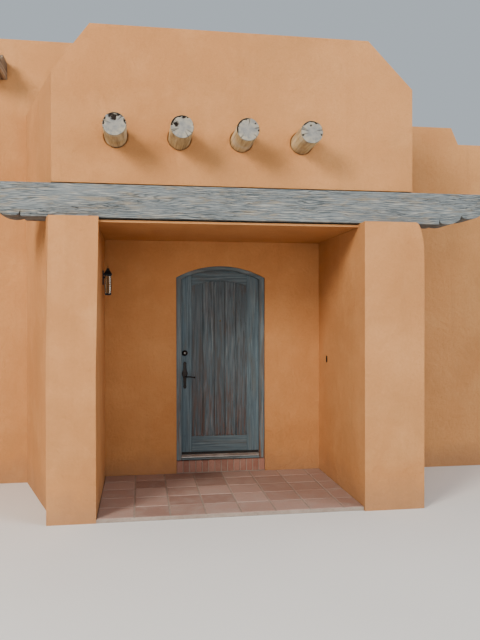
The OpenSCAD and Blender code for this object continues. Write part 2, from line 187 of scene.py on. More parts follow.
def make_stucco(name, base, dark, light):
    k = Mat(name)
    z = k.sep()[2]
    big = k.noise(0.55, 3, 0.55, 0.6)
    mid = k.noise(2.4, 5, 0.62, 0.25)
    fine = k.noise(38, 4, 0.65)
    col = k.mix(k.rng(big, 0.34, 0.66), dark, base)
    col = k.mix(k.rng(mid, 0.46, 0.74, 0, 0.42), col, light)
    patch = k.noise(1.1, 5, 0.6, 0.4, k.mapped((1, 1, 1), loc=(11.3, 4.1, 7.9)))
    col = k.mix(k.rng(patch, 0.52, 0.70, 0, 0.55), col, tuple(c * 0.80 for c in base))
    col = k.mix(k.rng(fine, 0.35, 0.75, 0.0, 0.22), col, tuple(c * 0.72 for c in base))
    # soft rain streaks down the walls, and soil splashed on their feet
    streak = k.noise(1.0, 4, 0.6, 0.2, k.mapped((6.5, 6.5, 0.35)))
    col = k.mix(k.rng(streak, 0.58, 0.80, 0, 0.30), col, tuple(c * 0.66 for c in base))
    edge = k.noise(5, 4, 0.6)
    splash = k.rng(k.math("ADD", z, k.rng(edge, 0, 1, -0.22, 0.10)), 0.0, 0.26, 0.42, 0.0)
    col = k.mix(splash, col, (0.27, 0.17, 0.115))
    n = k.bump(k.noise(1.7, 2, 0.5, 0.5), 0.045, 0.5)
    n = k.bump(k.noise(7.5, 3, 0.55, 1.2), 0.014, 0.7, n)
    # broad trowel marks, then the sand of the coat
    n = k.bump(k.noise(1, 3, 0.5, 1.5, k.mapped((16, 16, 9))), 0.0065, 0.7, n)
    n = k.bump(k.noise(70, 3, 0.65), 0.0030, 0.8, n)
    n = k.bump(k.noise(230, 3, 0.7), 0.0036, 1.0, n)
    n = k.bump(k.voronoi(380), 0.0016, 0.8, n)
    grit = k.noise(420, 2, 0.6)
    col = k.mix(k.rng(grit, 0.54, 0.70, 0, 0.34), col, tuple(c * 0.62 for c in base))
    col = k.mix(k.rng(grit, 0.46, 0.32, 0, 0.30), col, tuple(min(1.0, c * 1.22) for c in light))
    return k.done(col, k.rng(fine, 0.3, 0.7, 0.86, 0.97), n, spec=0.22)


def make_wood(name, axis, lo, midc, hi, along=1.3, across=34.0, crack=0.5, brown=None, rough=(0.72, 0.9),
              knots=0.0, tint=0.0, low_brown=None, depth=0.0022, figure=None):
    """Weathered timber with grain along one axis ('x', 'y' or 'z')."""
    k = Mat(name)
    i = "xyz".index(axis)

    def sc(a, c):
        s = [c, c, c]
        s[i] = a
        return tuple(s)
    vec = k.co
    warp = k.noise(0.9, 3, 0.5, 0, k.mapped(sc(1.3, 7.0)))
    grain = k.noise(1, 5, 0.62, 0.35, k.mapped(sc(along, across)))
    fine = k.noise(1, 4, 0.7, 0.2, k.mapped(sc(along * 3.5, across * 4.6)))
    wide = k.noise(1, 3, 0.55, 0.3, k.mapped(sc(along * 0.45, across * 0.22)))
    col = k.ramp(grain, [(0.34, lo), (0.49, midc), (0.64, hi)])
    col = k.mix(k.rng(wide, 0.35, 0.70, 0, 0.75), col, midc)
    col = k.mix(k.rng(fine, 0.52, 0.74, 0, 0.55), col, lo)
    if brown:
        b = k.noise(1, 4, 0.6, 0.6, k.mapped(sc(along * 0.9, across * 0.32), loc=(3.1, 1.7, 5.3)))
        col = k.mix(k.rng(b, 0.52, 0.70, 0, 0.8), col, brown)
    if low_brown:
        z = k.sep()[2]
        b = k.noise(1, 4, 0.65, 0.4, k.mapped(sc(along * 1.1, across * 0.9), loc=(7.7, 2.2, 0.4)))
        f = k.math("MULTIPLY", k.rng(z, 0.25, 1.25, 1.0, 0.12), k.rng(b, 0.44, 0.60, 0, 1))
        col = k.mix(f, col, low_brown)
    if tint:
        col = k.mix(k.rng(k.attr("tint"), 0, 1, tint, 0), col, tuple(c * 0.45 for c in midc))
    if figure:
        # growth rings cut by the sawn face: fine lines that wander and close round knots
        freq, amp, share = figure
        sway = k.noise(1, 3, 0.5, 0.0, k.mapped(sc(1.5, 5.0), loc=(2.3, 0.9, 6.1)))
        fld = k.math("ADD", k.math("MULTIPLY", k.sep()[2], freq), k.math("MULTIPLY", sway, amp))
        fld = k.math("ADD", fld, k.math("MULTIPLY", grain, 5.0))
        ring = k.math("SINE", fld)
        some = k.rng(k.noise(1, 3, 0.6, 0, k.mapped(sc(2.2, 9.0), loc=(5.5, 3.3, 1.2))), 0.38, 0.60, 0.25, 1)
        line = k.math("MULTIPLY", k.rng(ring, 0.30, 0.95, 0, share), some)
        col = k.mix(line, col, tuple(c * 1.2 for c in lo))
    split = k.noise(1, 2, 0.5, 0.25, k.mapped(sc(along * 0.62, across * 1.15), loc=(1.9, 8.8, 4.4)))
    near = k.math("ABSOLUTE", k.math("SUBTRACT", split, 0.5))
    cr = k.math("MULTIPLY", k.rng(near, 0.0, 0.012, 1, 0), k.rng(warp, 0.46, 0.60, 0, 1))
    col = k.mix(k.math("MULTIPLY", cr, crack), col, tuple(c * 0.25 for c in lo))
    n = k.bump(grain, depth, 0.9)
    n = k.bump(fine, depth * 0.35, 0.9, n)
    n = k.bump(k.math("SUBTRACT", 1.0, cr), depth * 1.6, 0.9 * crack, n)
    if figure:
        n = k.bump(k.math("SUBTRACT", 1.0, line), depth * 0.6, 0.9, n)
    if knots:
        v = k.voronoi(1, k.mapped(sc(1.15, 3.4), loc=(0.3, 0.55, 0.25)))
        ring = k.wave(7.5, 1.2, k.mapped((1, 1, 1)), "RINGS")
        spot = k.rng(v, 0.05, 0.15, 1, 0)
        col = k.mix(k.math("MULTIPLY", spot, knots), col, tuple(c * 0.55 for c in lo))
        n = k.bump(spot, 0.002, 0.6, n)
    return k.done(col, k.rng(grain, 0.3, 0.7, *rough), n, spec=0.25)


def make_tile(name, a, b, c, joint_dust):
    k = Mat(name)
    t = k.attr("tint")
    col = k.ramp(t, [(0.0, a), (0.5, b), (1.0, c)])
    blot = k.noise(7, 4, 0.6, 0.6)
    col = k.mix(k.rng(blot, 0.42, 0.72, 0, 0.55), col, joint_dust)
    sp = k.noise(120, 3, 0.6)
    col = k.mix(k.rng(sp, 0.56, 0.72, 0, 0.4), col, tuple(x * 0.55 for x in a))
    n = k.bump(k.noise(9, 3, 0.5), 0.004, 0.5)
    n = k.bump(k.noise(90, 4, 0.6), 0.0012, 0.7, n)
    return k.done(col, k.rng(blot, 0.3, 0.7, 0.62, 0.85), n, spec=0.3)


def make_plain(name, col, var, scale, rough, metallic=0.0, bump=0.0006, bscale=220, spec=0.4, streak=None):
    k = Mat(name)
    a = k.noise(scale, 4, 0.6, 0.4)
    b = k.noise(scale * 9, 3, 0.6)
    c = k.mix(k.rng(a, 0.35, 0.68), col, var)
    c = k.mix(k.rng(b, 0.55, 0.75, 0, 0.45), c, tuple(x * 0.6 for x in col))
    n = k.bump(k.noise(bscale, 3, 0.6), bump, 0.8)
    n = k.bump(k.noise(bscale * 0.16, 3, 0.5), bump * 2.2, 0.5, n)
    return k.done(c, k.rng(a, 0.3, 0.7, rough[0], rough[1]), n, metallic, spec)


def make_roofing():
    k = Mat("roofing")
    a = k.noise(0.8, 4, 0.6, 0.6)
    b = k.voronoi(95, out="Color")
    g = k.voronoi(95)
    top = k.mix(k.rng(a, 0.35, 0.7), (0.42, 0.37, 0.30), (0.56, 0.51, 0.43))
    top = k.mix(0.35, top, k.ramp(k.sep(b)[0], [(0, (0.28, 0.22, 0.17)), (0.5, (0.5, 0.44, 0.36)), (1, (0.70, 0.66, 0.58))]))
    under = k.mix(k.rng(a, 0.3, 0.7), (0.60, 0.52, 0.42), (0.66, 0.58, 0.48))
    col = k.mix(k.rng(k.normal_z(), 0.1, 0.4), under, top)
    n = k.bump(g, 0.006, 0.7)
    n = k.bump(k.noise(2.2, 3), 0.02, 0.5, n)
    return k.done(col, 0.9, n, spec=0.2)


def make_glass():
    k = Mat("window_glass")
    n = k.bump(k.noise(2.5, 2), 0.002, 0.25)
    smear = k.noise(5, 4, 0.6)
    m = k.done(k.mix(k.rng(smear, 0.3, 0.7), (0.80, 0.87, 0.86), (0.88, 0.91, 0.89)), k.rng(smear, 0.4, 0.7, 0.01, 0.05), n, spec=0.5)
    k.bsdf.inputs["Transmission Weight"].default_value = 1.0
    k.bsdf.inputs["IOR"].default_value = 1.45
    return m


def make_log(name):
    """Peeled log: grain along Y on the barrel, rings and radial cracks on the sawn end ('end' attribute), with painted
    shade in the end's hollows.
    """
    k = Mat(name)
    end = k.attr("end")
    rad = k.attr("rad")
    g = k.noise(1, 5, 0.65, 0.4, k.mapped((26, 1.6, 26)))
    f = k.noise(1, 4, 0.65, 0.2, k.mapped((110, 5, 110)))
    side = k.ramp(g, [(0.32, (0.22, 0.140, 0.070)), (0.5, (0.44, 0.325, 0.180)), (0.68, (0.58, 0.46, 0.28))])
    side = k.mix(k.rng(f, 0.55, 0.72, 0, 0.5), side, (0.26, 0.18, 0.12))
    side = k.mix(k.rng(k.noise(4, 3, 0.6), 0.45, 0.7, 0, 0.6), side, (0.46, 0.42, 0.36))
    wob = k.noise(14, 3, 0.5)
    rings = k.math("SINE", k.math("ADD", k.math("MULTIPLY", rad, 95.0), k.math("MULTIPLY", wob, 9.0)))
    face = k.mix(k.rng(rings, -1, 1, 0, 0.34), (0.355, 0.325, 0.265), (0.205, 0.182, 0.142))
    face = k.mix(k.rng(rad, 0.35, 0.8, 0.5, 0), face, (0.205, 0.215, 0.225))
    face = k.mix(k.rng(k.noise(26, 4, 0.6), 0.44, 0.64, 0, 0.8), face, (0.185, 0.188, 0.188))
    # the 'crack' attribute paints the end near-black: real radial cracks, plus painted shade in the hollows and in the
    # groove under the rim
    face = k.mix(k.attr("crack"), face, (0.03, 0.022, 0.018))
    face = k.mix(k.rng(rad, 0.965, 1.0, 0, 0.85), face, (0.16, 0.12, 0.08))
    col = k.mix(end, side, face)
    n = k.bump(g, 0.003, 0.8)
    n = k.bump(f, 0.0009, 0.8, n)
    n = k.bump(k.math("MULTIPLY", rings, end), 0.0012, 0.5, n)
    return k.done(col, 0.85, n, spec=0.2)


BASE, DARK, LIGHT = (0.550, 0.284, 0.128), (0.454, 0.220, 0.095), (0.632, 0.358, 0.176)
STUCCO = make_stucco("stucco", BASE, DARK, LIGHT)
BEAM = make_wood("beam_wood", "x", (0.060, 0.068, 0.072), (0.185, 0.205, 0.212), (0.370, 0.360, 0.320),
                 along=5.5, across=100, crack=1.0, brown=(0.27, 0.225, 0.165), knots=0.8, depth=0.004, figure=(300.0, 62.0, 0.75))
DOORWOOD = make_wood("door_wood", "z", (0.050, 0.065, 0.073), (0.108, 0.143, 0.163), (0.198, 0.240, 0.258),
                     along=2.6, across=60, crack=0.8, brown=(0.110, 0.098, 0.090), low_brown=(0.172, 0.082, 0.054),
                     tint=0.24, rough=(0.62, 0.85), depth=0.0014)
STILEWOOD = make_wood("door_stile_wood", "z", (0.062, 0.086, 0.100), (0.114, 0.157, 0.182), (0.184, 0.237, 0.260),
                      along=2.2, across=56, crack=0.5, brown=(0.125, 0.135, 0.130), rough=(0.6, 0.82), depth=0.0012)
RAILWOOD = make_wood("door_rail_wood", "x", (0.058, 0.079, 0.091), (0.107, 0.146, 0.168), (0.174, 0.221, 0.241),
                     along=2.4, across=56, crack=0.5, brown=(0.118, 0.116, 0.110), rough=(0.6, 0.82), depth=0.0012)
FRAMEWOOD = make_wood("door_frame_wood", "z", (0.067, 0.085, 0.093), (0.129, 0.168, 0.187), (0.227, 0.270, 0.282),
                      along=1.6, across=44, crack=0.6, brown=(0.130, 0.121, 0.110), low_brown=(0.17, 0.095, 0.062),
                      rough=(0.66, 0.88), depth=0.0014)
FRAMEWOOD_X = make_wood("door_head_wood", "x", (0.067, 0.085, 0.093), (0.129, 0.168, 0.187), (0.227, 0.270, 0.282),
                        along=1.6, across=44, crack=0.6, brown=(0.130, 0.121, 0.110), rough=(0.66, 0.88), depth=0.0014)
TIMBER = make_wood("timber", "x", (0.050, 0.038, 0.028), (0.165, 0.120, 0.082), (0.300, 0.235, 0.170), crack=0.8, knots=0.5, depth=0.003)
TIMBER_Y = make_wood("timber_y", "y", (0.050, 0.038, 0.028), (0.165, 0.120, 0.082), (0.300, 0.235, 0.170), crack=0.8, knots=0.5, depth=0.003)
DRAINWOOD = make_wood("drain_wood", "y", (0.085, 0.060, 0.042), (0.235, 0.175, 0.120), (0.42, 0.345, 0.26), crack=0.8, knots=0.3, depth=0.0025)
DRAINWOOD_X = make_wood("drain_wood_x", "x", (0.085, 0.060, 0.042), (0.235, 0.175, 0.120), (0.42, 0.345, 0.26), crack=0.8, knots=0.3, depth=0.0025)
WINWOOD, WINWOOD_X, WINWOOD_Y = (
    make_wood("window_wood_" + a, a, (0.050, 0.064, 0.064), (0.112, 0.148, 0.150), (0.200, 0.240, 0.234), along=2.0, across=60,
              crack=0.5, brown=(0.120, 0.098, 0.078), depth=0.0010) for a in "zxy")
LOG = make_log("log_wood")
CLAY = make_tile("clay_tile", (0.265, 0.170, 0.140), (0.335, 0.222, 0.185), (0.390, 0.275, 0.235), (0.38, 0.31, 0.27))
BRICK = make_tile("brick", (0.230, 0.115, 0.085), (0.285, 0.145, 0.110), (0.330, 0.180, 0.140), (0.33, 0.23, 0.19))
MORTAR = make_plain("mortar", (0.27, 0.215, 0.18), (0.34, 0.285, 0.245), 6, (0.88, 0.96), bump=0.002, bscale=160, spec=0.2)
IRON = make_plain("iron", (0.022, 0.021, 0.022), (0.045, 0.036, 0.030), 30, (0.30, 0.50), 0.85, 0.0006, 260)
ALU = make_plain("threshold_metal", (0.42, 0.41, 0.39), (0.55, 0.54, 0.51), 12, (0.34, 0.5), 0.9, 0.0004, 300)
CORE = make_plain("lock_core", (0.24, 0.235, 0.225), (0.16, 0.15, 0.135), 90, (0.36, 0.52), 0.9, 0.0003, 400)
SWEEP = make_plain("sweep_rubber", (0.018, 0.017, 0.017), (0.035, 0.033, 0.031), 20, (0.7, 0.85), 0.0, 0.0004, 200)
BRASS = make_plain("viewer_metal", (0.20, 0.14, 0.06), (0.12, 0.085, 0.045), 60, (0.35, 0.5), 0.9, 0.0003, 400)
LANTERN = make_plain("lantern_metal", (0.020, 0.026, 0.032), (0.045, 0.050, 0.055), 24, (0.4, 0.6), 0.6, 0.0006, 240)
LAMPGLASS = make_glass()
LAMPGLASS.name = "lantern_glass"
GLASS = make_glass()
ROOFING = make_roofing()


# ------------------------------------------------------------------ geometry helpers
def finish_piece(o, mat, body, nodes=()):
    if mat is not None:
        o.data.materials.clear()
        o.data.materials.append(mat)
    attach(o, body)
    if nodes:
        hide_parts(*nodes)
    return o


def obj_from(name, verts, faces):
    me = bpy.data.meshes.new(name)
    me.from_pydata([tuple(v) for v in verts], [], faces)
    me.validate()
    o = bpy.data.objects.new(name, me)
    bpy.context.scene.collection.objects.link(o)
    bm = bmesh.new()
    bm.from_mesh(me)
    bmesh.ops.recalc_face_normals(bm, faces=bm.faces)
    bm.to_mesh(me)
    bm.free()
    return o


def prism(pts, a, b, axis):
    """Closed prism of a 2-D outline: axis 'z' takes (x, y), 'y' takes (x, z), 'x' takes (y, z)."""
    put = {"z": lambda p, t: P(p[0], p[1], t), "y": lambda p, t: P(p[0], t, p[1]), "x": lambda p, t: P(t, p[0], p[1])}[axis]
    n = len(pts)
    v = [put(p, a) for p in pts] + [put(p, b) for p in pts]
    f = [tuple(range(n))[::-1], tuple(range(n, 2 * n))] + [(i, (i + 1) % n, n + (i + 1) % n, n + i) for i in range(n)]
    return v, f


def cube(x0, x1, y0, y1, z0, z1):
    return prism([(x0, y0), (x1, y0), (x1, y1), (x0, y1)], z0, z1, "z")


def join(parts):
    v, f = [], []
    for pv, pf in parts:
        k = len(v)
        v += pv
        f += [tuple(i + k for i in q) for q in pf]
    return v, f


def bake(o):
    """Applies every modifier."""
    dg = bpy.context.evaluated_depsgraph_get()
    dg.update()
    me = bpy.data.meshes.new_from_object(o.evaluated_get(dg))
    o.modifiers.clear()
    old, o.data = o.data, me
    bpy.data.meshes.remove(old)
    return o


def boolean(o, other, op):
    m = o.modifiers.new("b", "BOOLEAN")
    m.operation, m.object, m.solver = op, other, "EXACT"
    bake(o)
    bpy.data.objects.remove(other)
    return o


def tidy(o, angle=0.6):
    bm = bmesh.new()
    bm.from_mesh(o.data)
    bmesh.ops.remove_doubles(bm, verts=bm.verts, dist=2e-5)
    bmesh.ops.dissolve_limit(bm, angle_limit=math.radians(angle), verts=bm.verts, edges=bm.edges)
    bmesh.ops.recalc_face_normals(bm, faces=bm.faces)
    bm.to_mesh(o.data)
    bm.free()
    return o


def soften(o, width, segs=2, angle=28, weight=None, smooth=True):
    """Rounds the sharp edges. weight(mid, edge) may give each edge its share of width."""
    m = o.modifiers.new("bevel", "BEVEL")
    m.width, m.segments, m.use_clamp_overlap = width, segs, True
    m.miter_outer = "MITER_SHARP"
    if weight:
        bm = bmesh.new()
        bm.from_mesh(o.data)
        lay = bm.edges.layers.float.get("bevel_weight_edge") or bm.edges.layers.float.new("bevel_weight_edge")
        for e in bm.edges:
            if len(e.link_faces) == 2 and e.calc_face_angle(0) > math.radians(angle):
                mid = (e.verts[0].co + e.verts[1].co) / 2 - Vector((OX, OY, OZ))
                e[lay] = weight(mid, e)
        bm.to_mesh(o.data)
        bm.free()
        m.limit_method = "WEIGHT"
    else:
        m.limit_method, m.angle_limit = "ANGLE", math.radians(angle)
    if smooth:
        for p in o.data.polygons:
            p.use_smooth = True
        w = o.modifiers.new("wn", "WEIGHTED_NORMAL")
        w.keep_sharp, w.weight = True, 60
    return bake(o)


def rounded(node, width, mat, body=HOUSE, segs=2, angle=28, smooth=True):
    """The CAD node's own shape with its edges softened."""
    o = bpy.data.objects.new(node + "_shown", NODES[node].data.copy())
    bpy.context.scene.collection.objects.link(o)
    tidy(o)
    soften(o, width, segs, angle, smooth=smooth)
    return finish_piece(o, mat, body, [node])


def tint(o, values, name="tint", domain="POINT"):
    a = o.data.attributes.new(name, "FLOAT", domain)
    a.data.foreach_set("value", values)


def blocks(name, boxes, cham, mat, nodes=(), body=HOUSE, seed=1, wob=0.0):
    """Many bevelled blocks in one mesh. Each block's own tint is in the 'tint' attribute."""
    rnd = random.Random(seed)
    v, f, t = [], [], []
    for (x0, x1, y0, y1, z0, z1) in boxes:
        k = len(v)
        c = min(cham, (x1 - x0) / 3, (y1 - y0) / 3, (z1 - z0) / 3)
        dz = [rnd.uniform(-wob, 0) for _ in range(4)]
        tn = rnd.random()
        # rings of corners: bottom, lower wall, upper wall, top, with chamfered vertical corners
        def ring(ix, iy, z, tops=False):
            pts = []
            for ci, (cx, cy, sx, sy) in enumerate(((x0, y0, 1, 1), (x1, y0, -1, 1), (x1, y1, -1, -1), (x0, y1, 1, -1))):
                zz = z + (dz[ci] if tops else 0)
                order = [(cx + sx * ix, cy + sy * (iy + c)), (cx + sx * (ix + c), cy + sy * iy)]
                if ci % 2:
                    order.reverse()
                pts += [P(a, b, zz) for a, b in order]
            return pts
        v += ring(0, 0, z0) + ring(0, 0, z1 - c, True) + ring(c * 0.35, c * 0.35, z1 - c * 0.3, True) + ring(c, c, z1, True)
        f.append(tuple(k + i for i in range(7, -1, -1)))
        for r in range(3):
            f += [(k + r * 8 + i, k + r * 8 + (i + 1) % 8, k + r * 8 + 8 + (i + 1) % 8, k + r * 8 + 8 + i) for i in range(8)]
        f.append(tuple(k + 24 + i for i in range(8)))
        t += [tn] * 32
    o = obj_from(name, v, f)
    tint(o, t)
    return finish_piece(o, mat, body, nodes)


# ------------------------------------------------------------------ sizes, in metres, as in the CAD part
HALF, SIDE, WT = 1.7165, 5.2, 0.38
IL, IR = -1.3195, 1.1685
FACE, INY, BIN, BACK = 1.425, 1.805, 7.42, 7.80
MAIN, WING, ETOP, SH = 4.86, 3.90, 4.47, 4.02
G = -0.04
DW, ARC_R, ARC_Z, CROWN = 0.457, 1.02091, 1.32109, 2.342
SLANT = 0.453 / 1.425


def arch(x0, x1, z0, r, n=28, cx=0.0):
    """Outline with a round head, from the bottom left, anticlockwise seen from the front."""
    a0, a1 = math.asin((x1 - cx) / r), math.asin((x0 - cx) / r)
    return [(x0, z0), (x1, z0)] + [(cx + r * math.sin(a0 + (a1 - a0) * i / n), ARC_Z + r * math.cos(a0 + (a1 - a0) * i / n)) for i in range(n + 1)]


# ------------------------------------------------------------------ stucco: one skin over every wall
LOGZ = 3.454


def LOGX(i):
    return -HALF + 0.573 + 0.582 * i


def lean_pier(o):
    """The left pier's front edges: 11 mm further out at the foot, and leaning inwards above 1.3 m."""
    bm = bmesh.new()
    bm.from_mesh(o.data)
    for co, no in ((P(0, 0, 1.3), (0, 0, 1)), (P(0, 0, 0), (0, 1, 0))):
        fs = [f for f in bm.faces if any(v.co.y < OY - 0.15 and v.co.x < IL + 0.001 for v in f.verts)]
        es = {e for f in fs for e in f.edges}
        vs = {v for f in fs for v in f.verts}
        bmesh.ops.bisect_plane(bm, geom=list(vs) + list(es) + fs, dist=2e-4, plane_co=co, plane_no=no)
    for v in bm.verts:
        if v.co.y < OY - 0.157:
            t = max(0.0, (v.co.z - OZ - 1.3) / 1.397)
            if abs(v.co.x - IL) < 0.001:
                v.co.x += 0.029 * t
            elif abs(v.co.x + HALF + 0.022) < 0.001:
                v.co.x += -0.011 + 0.0255 * t
    bm.normal_update()
    bm.to_mesh(o.data)
    bm.free()


def build_stucco():
    o = obj_from("house_stucco", *cube(-SIDE, HALF, FACE, BACK, G, MAIN))
    add = [
        cube(0.5, SIDE, FACE, BACK, G, WING),
        prism([(0.6, 3.0), (2.9295, 3.0), (2.9295, WING), (2.8395, 4.10), (0.6, 4.10)], FACE, INY, "y"),
        prism([(-HALF, 0), (HALF, 0), (HALF, 1.6), (-HALF - SLANT * 1.6, 1.6)], G, SH, "z"),
        prism([(-HALF, 3.5), (HALF, 3.5), (HALF, SH), (HALF - 0.45, ETOP), (-HALF + 0.34, ETOP), (-HALF, SH)], 0, 0.265, "y"),
        prism([(-HALF - 0.022, -0.158), (IL, -0.158), (IL, 0.3), (-HALF - SLANT * 0.3, 0.3)], G, 2.697, "z"),
        prism([(IR, G), (HALF + 0.044, G)] + [(HALF - 0.041 + 0.085 * math.cos(math.radians(a)), 2.367 + 0.33 * math.sin(math.radians(a))) for a in range(0, 91, 9)] + [(IR, 2.697)], -0.18, 0.265, "y"),
    ]
    for a in add:
        boolean(o, obj_from("add", *a), "UNION")
    cut = [
        cube(-4.82, 1.3365, INY, BIN, -1, 9),                     # main block inside
        cube(HALF, 4.82, INY, BIN, -1, 9),                        # wing inside
        cube(1.2, 1.9, INY, BIN, -1, 3.27),                       # under the step beam
        cube(IL, IR, 0.265, FACE, 3.70, 9),                       # entry roof well
        cube(IL, IR, -0.6, FACE, -1, 2.665), cube(IL, IR, -0.1, 0.070, 2.6865, 2.7),                      # alcove
        cube(-2.7, 2.7, -0.3, 0.265, 2.6965, 3.020),              # seat of the beam
        prism(arch(-0.517, 0.517, -1, 1.06291), 1.3, 1.565, "y"),  # doorway
        cube(-0.541, 0.541, 1.555, 1.9, -1, 2.5),
        cube(-2.648, -2.368, 1.3, 1.9, 4.41, 4.596),              # roof drains
        cube(-4.2, -3.92, 7.3, 7.9, 4.41, 4.596), cube(0.1, 0.38, 7.3, 7.9, 4.41, 4.596),
        cube(3.3, 3.58, 7.3, 7.9, 3.52, 3.706), cube(IR - 0.1, HALF + 0.1, 1.13, 1.33, 3.709, 3.899),
        cube(1.3765, 1.6765, 1.655, 7.57, 2.95, 3.27),
    ]
    for x, y0, y1 in ((4.0, 1.3, 1.9), (4.0, 7.3, 7.9), (-3.4, 7.3, 7.9), (-0.9, 7.3, 7.9)):
        cut += [cube(x - 0.45, x + 0.45, y0, y1, 1.08, 2.281), cube(x - 0.652, x + 0.652, y0, y1, 2.278, 2.462)]
    for x0, x1 in ((-5.3, -4.7), (4.7, 5.3)):
        for y in (3.3, 5.9):
            cut += [cube(x0, x1, y - 0.45, y + 0.45, 1.08, 2.281), cube(x0, x1, y - 0.652, y + 0.652, 2.278, 2.462)]
    for i in range(4):                                         # the logs stand in holes a little wider than they are
        cut.append(prism([(LOGX(i) + 0.1142 * math.cos(j * math.pi / 20), LOGZ + 0.1142 * math.sin(j * math.pi / 20)) for j in range(40)], -0.05, 0.024, "y"))
    for c in cut:
        boolean(o, obj_from("cut", *c), "DIFFERENCE")
    tidy(o)
    lean_pier(o)

    def weight(m, e):
        convex = e.is_convex
        x, y, z = m
        if not convex:
            return 0.35
        if z < G + 0.005:
            e.smooth = False
            return 0.0
        inside = (INY - 0.01 < y < BIN + 0.01 and abs(x) < 4.83 and z < 3.96)
        if y < 0.03 and any(math.hypot(x - LOGX(i), z - LOGZ) < 0.12 for i in range(4)):
            return 0.10 if y < 0.01 else 0.0
        if 3.0 < z < 3.03 and y < 0.27:
            return 0.12                                # edge over the beam
        if 2.69 < z < 2.70 and y < 0.27:
            return 0.75                                # pier tops
        if 2.66 < z < 2.699 and y < 0.27:
            return 0.14
        if abs(x) < 0.56 and 1.40 < y < 1.9 and z < 2.6:
            return 0.55 if y < 1.5 else 0.3             # doorway
        if 1.0 < z < 2.5 and (abs(abs(x) - 4.0) < 0.7 or abs(x) > 4.7 or y > 7.3):
            return 0.5 if y < 1.5 or y > 7.7 or abs(x) > 5.1 else 0.3
        if inside:
            return 0.35
        return 1.0
    soften(o, 0.052, 5, 25, weight)
    return o


stucco = build_stucco()


WALLS = ["entry_parapet_wall", "entry_pier_left", "entry_pier_right", "entry_wall_left", "entry_wall_right",
         "alcove_wall_left", "alcove_wall_right", "alcove_wall_over_door", "alcove_ceiling", "front_wall_upper",
         "front_wall_left", "front_wall_right", "wing_front_wall", "wing_side_wall", "wing_back_wall",
         "side_wall_left", "back_wall", "roof_step_wall"]
finish_piece(stucco, STUCCO, HOUSE, WALLS)


# ------------------------------------------------------------------ beam over the entry
def lobe(s, cs, cz, r):
    return cz - math.sqrt(r * r - (s - cs) ** 2)


def build_beam():
    t = [(0.0, 0.0), (0.265, 0.0), (0.265, 0.045)]
    t += [(s / 1000, lobe(s, 345, 224, 220) / 1000) for s in range(281, 497, 12)]
    t += [(0.5, 0.092)]
    t += [(s / 1000, lobe(s, 575, 275, 215) / 1000) for s in range(514, 767, 12)]
    t += [(0.78, lobe(776, 575, 275, 215) / 1000), (0.78, 0.306)]
    z0 = 2.699
    out = [(HALF + s, z0 + z) for s, z in t] + [(-HALF - s, z0 + z) for s, z in reversed(t)]
    o = obj_from("entry_beam_timber", *prism(out, -0.04, 0.263, "y"))
    return soften(o, 0.007, 3, 25)


finish_piece(build_beam(), BEAM, HOUSE, ["entry_beam"])


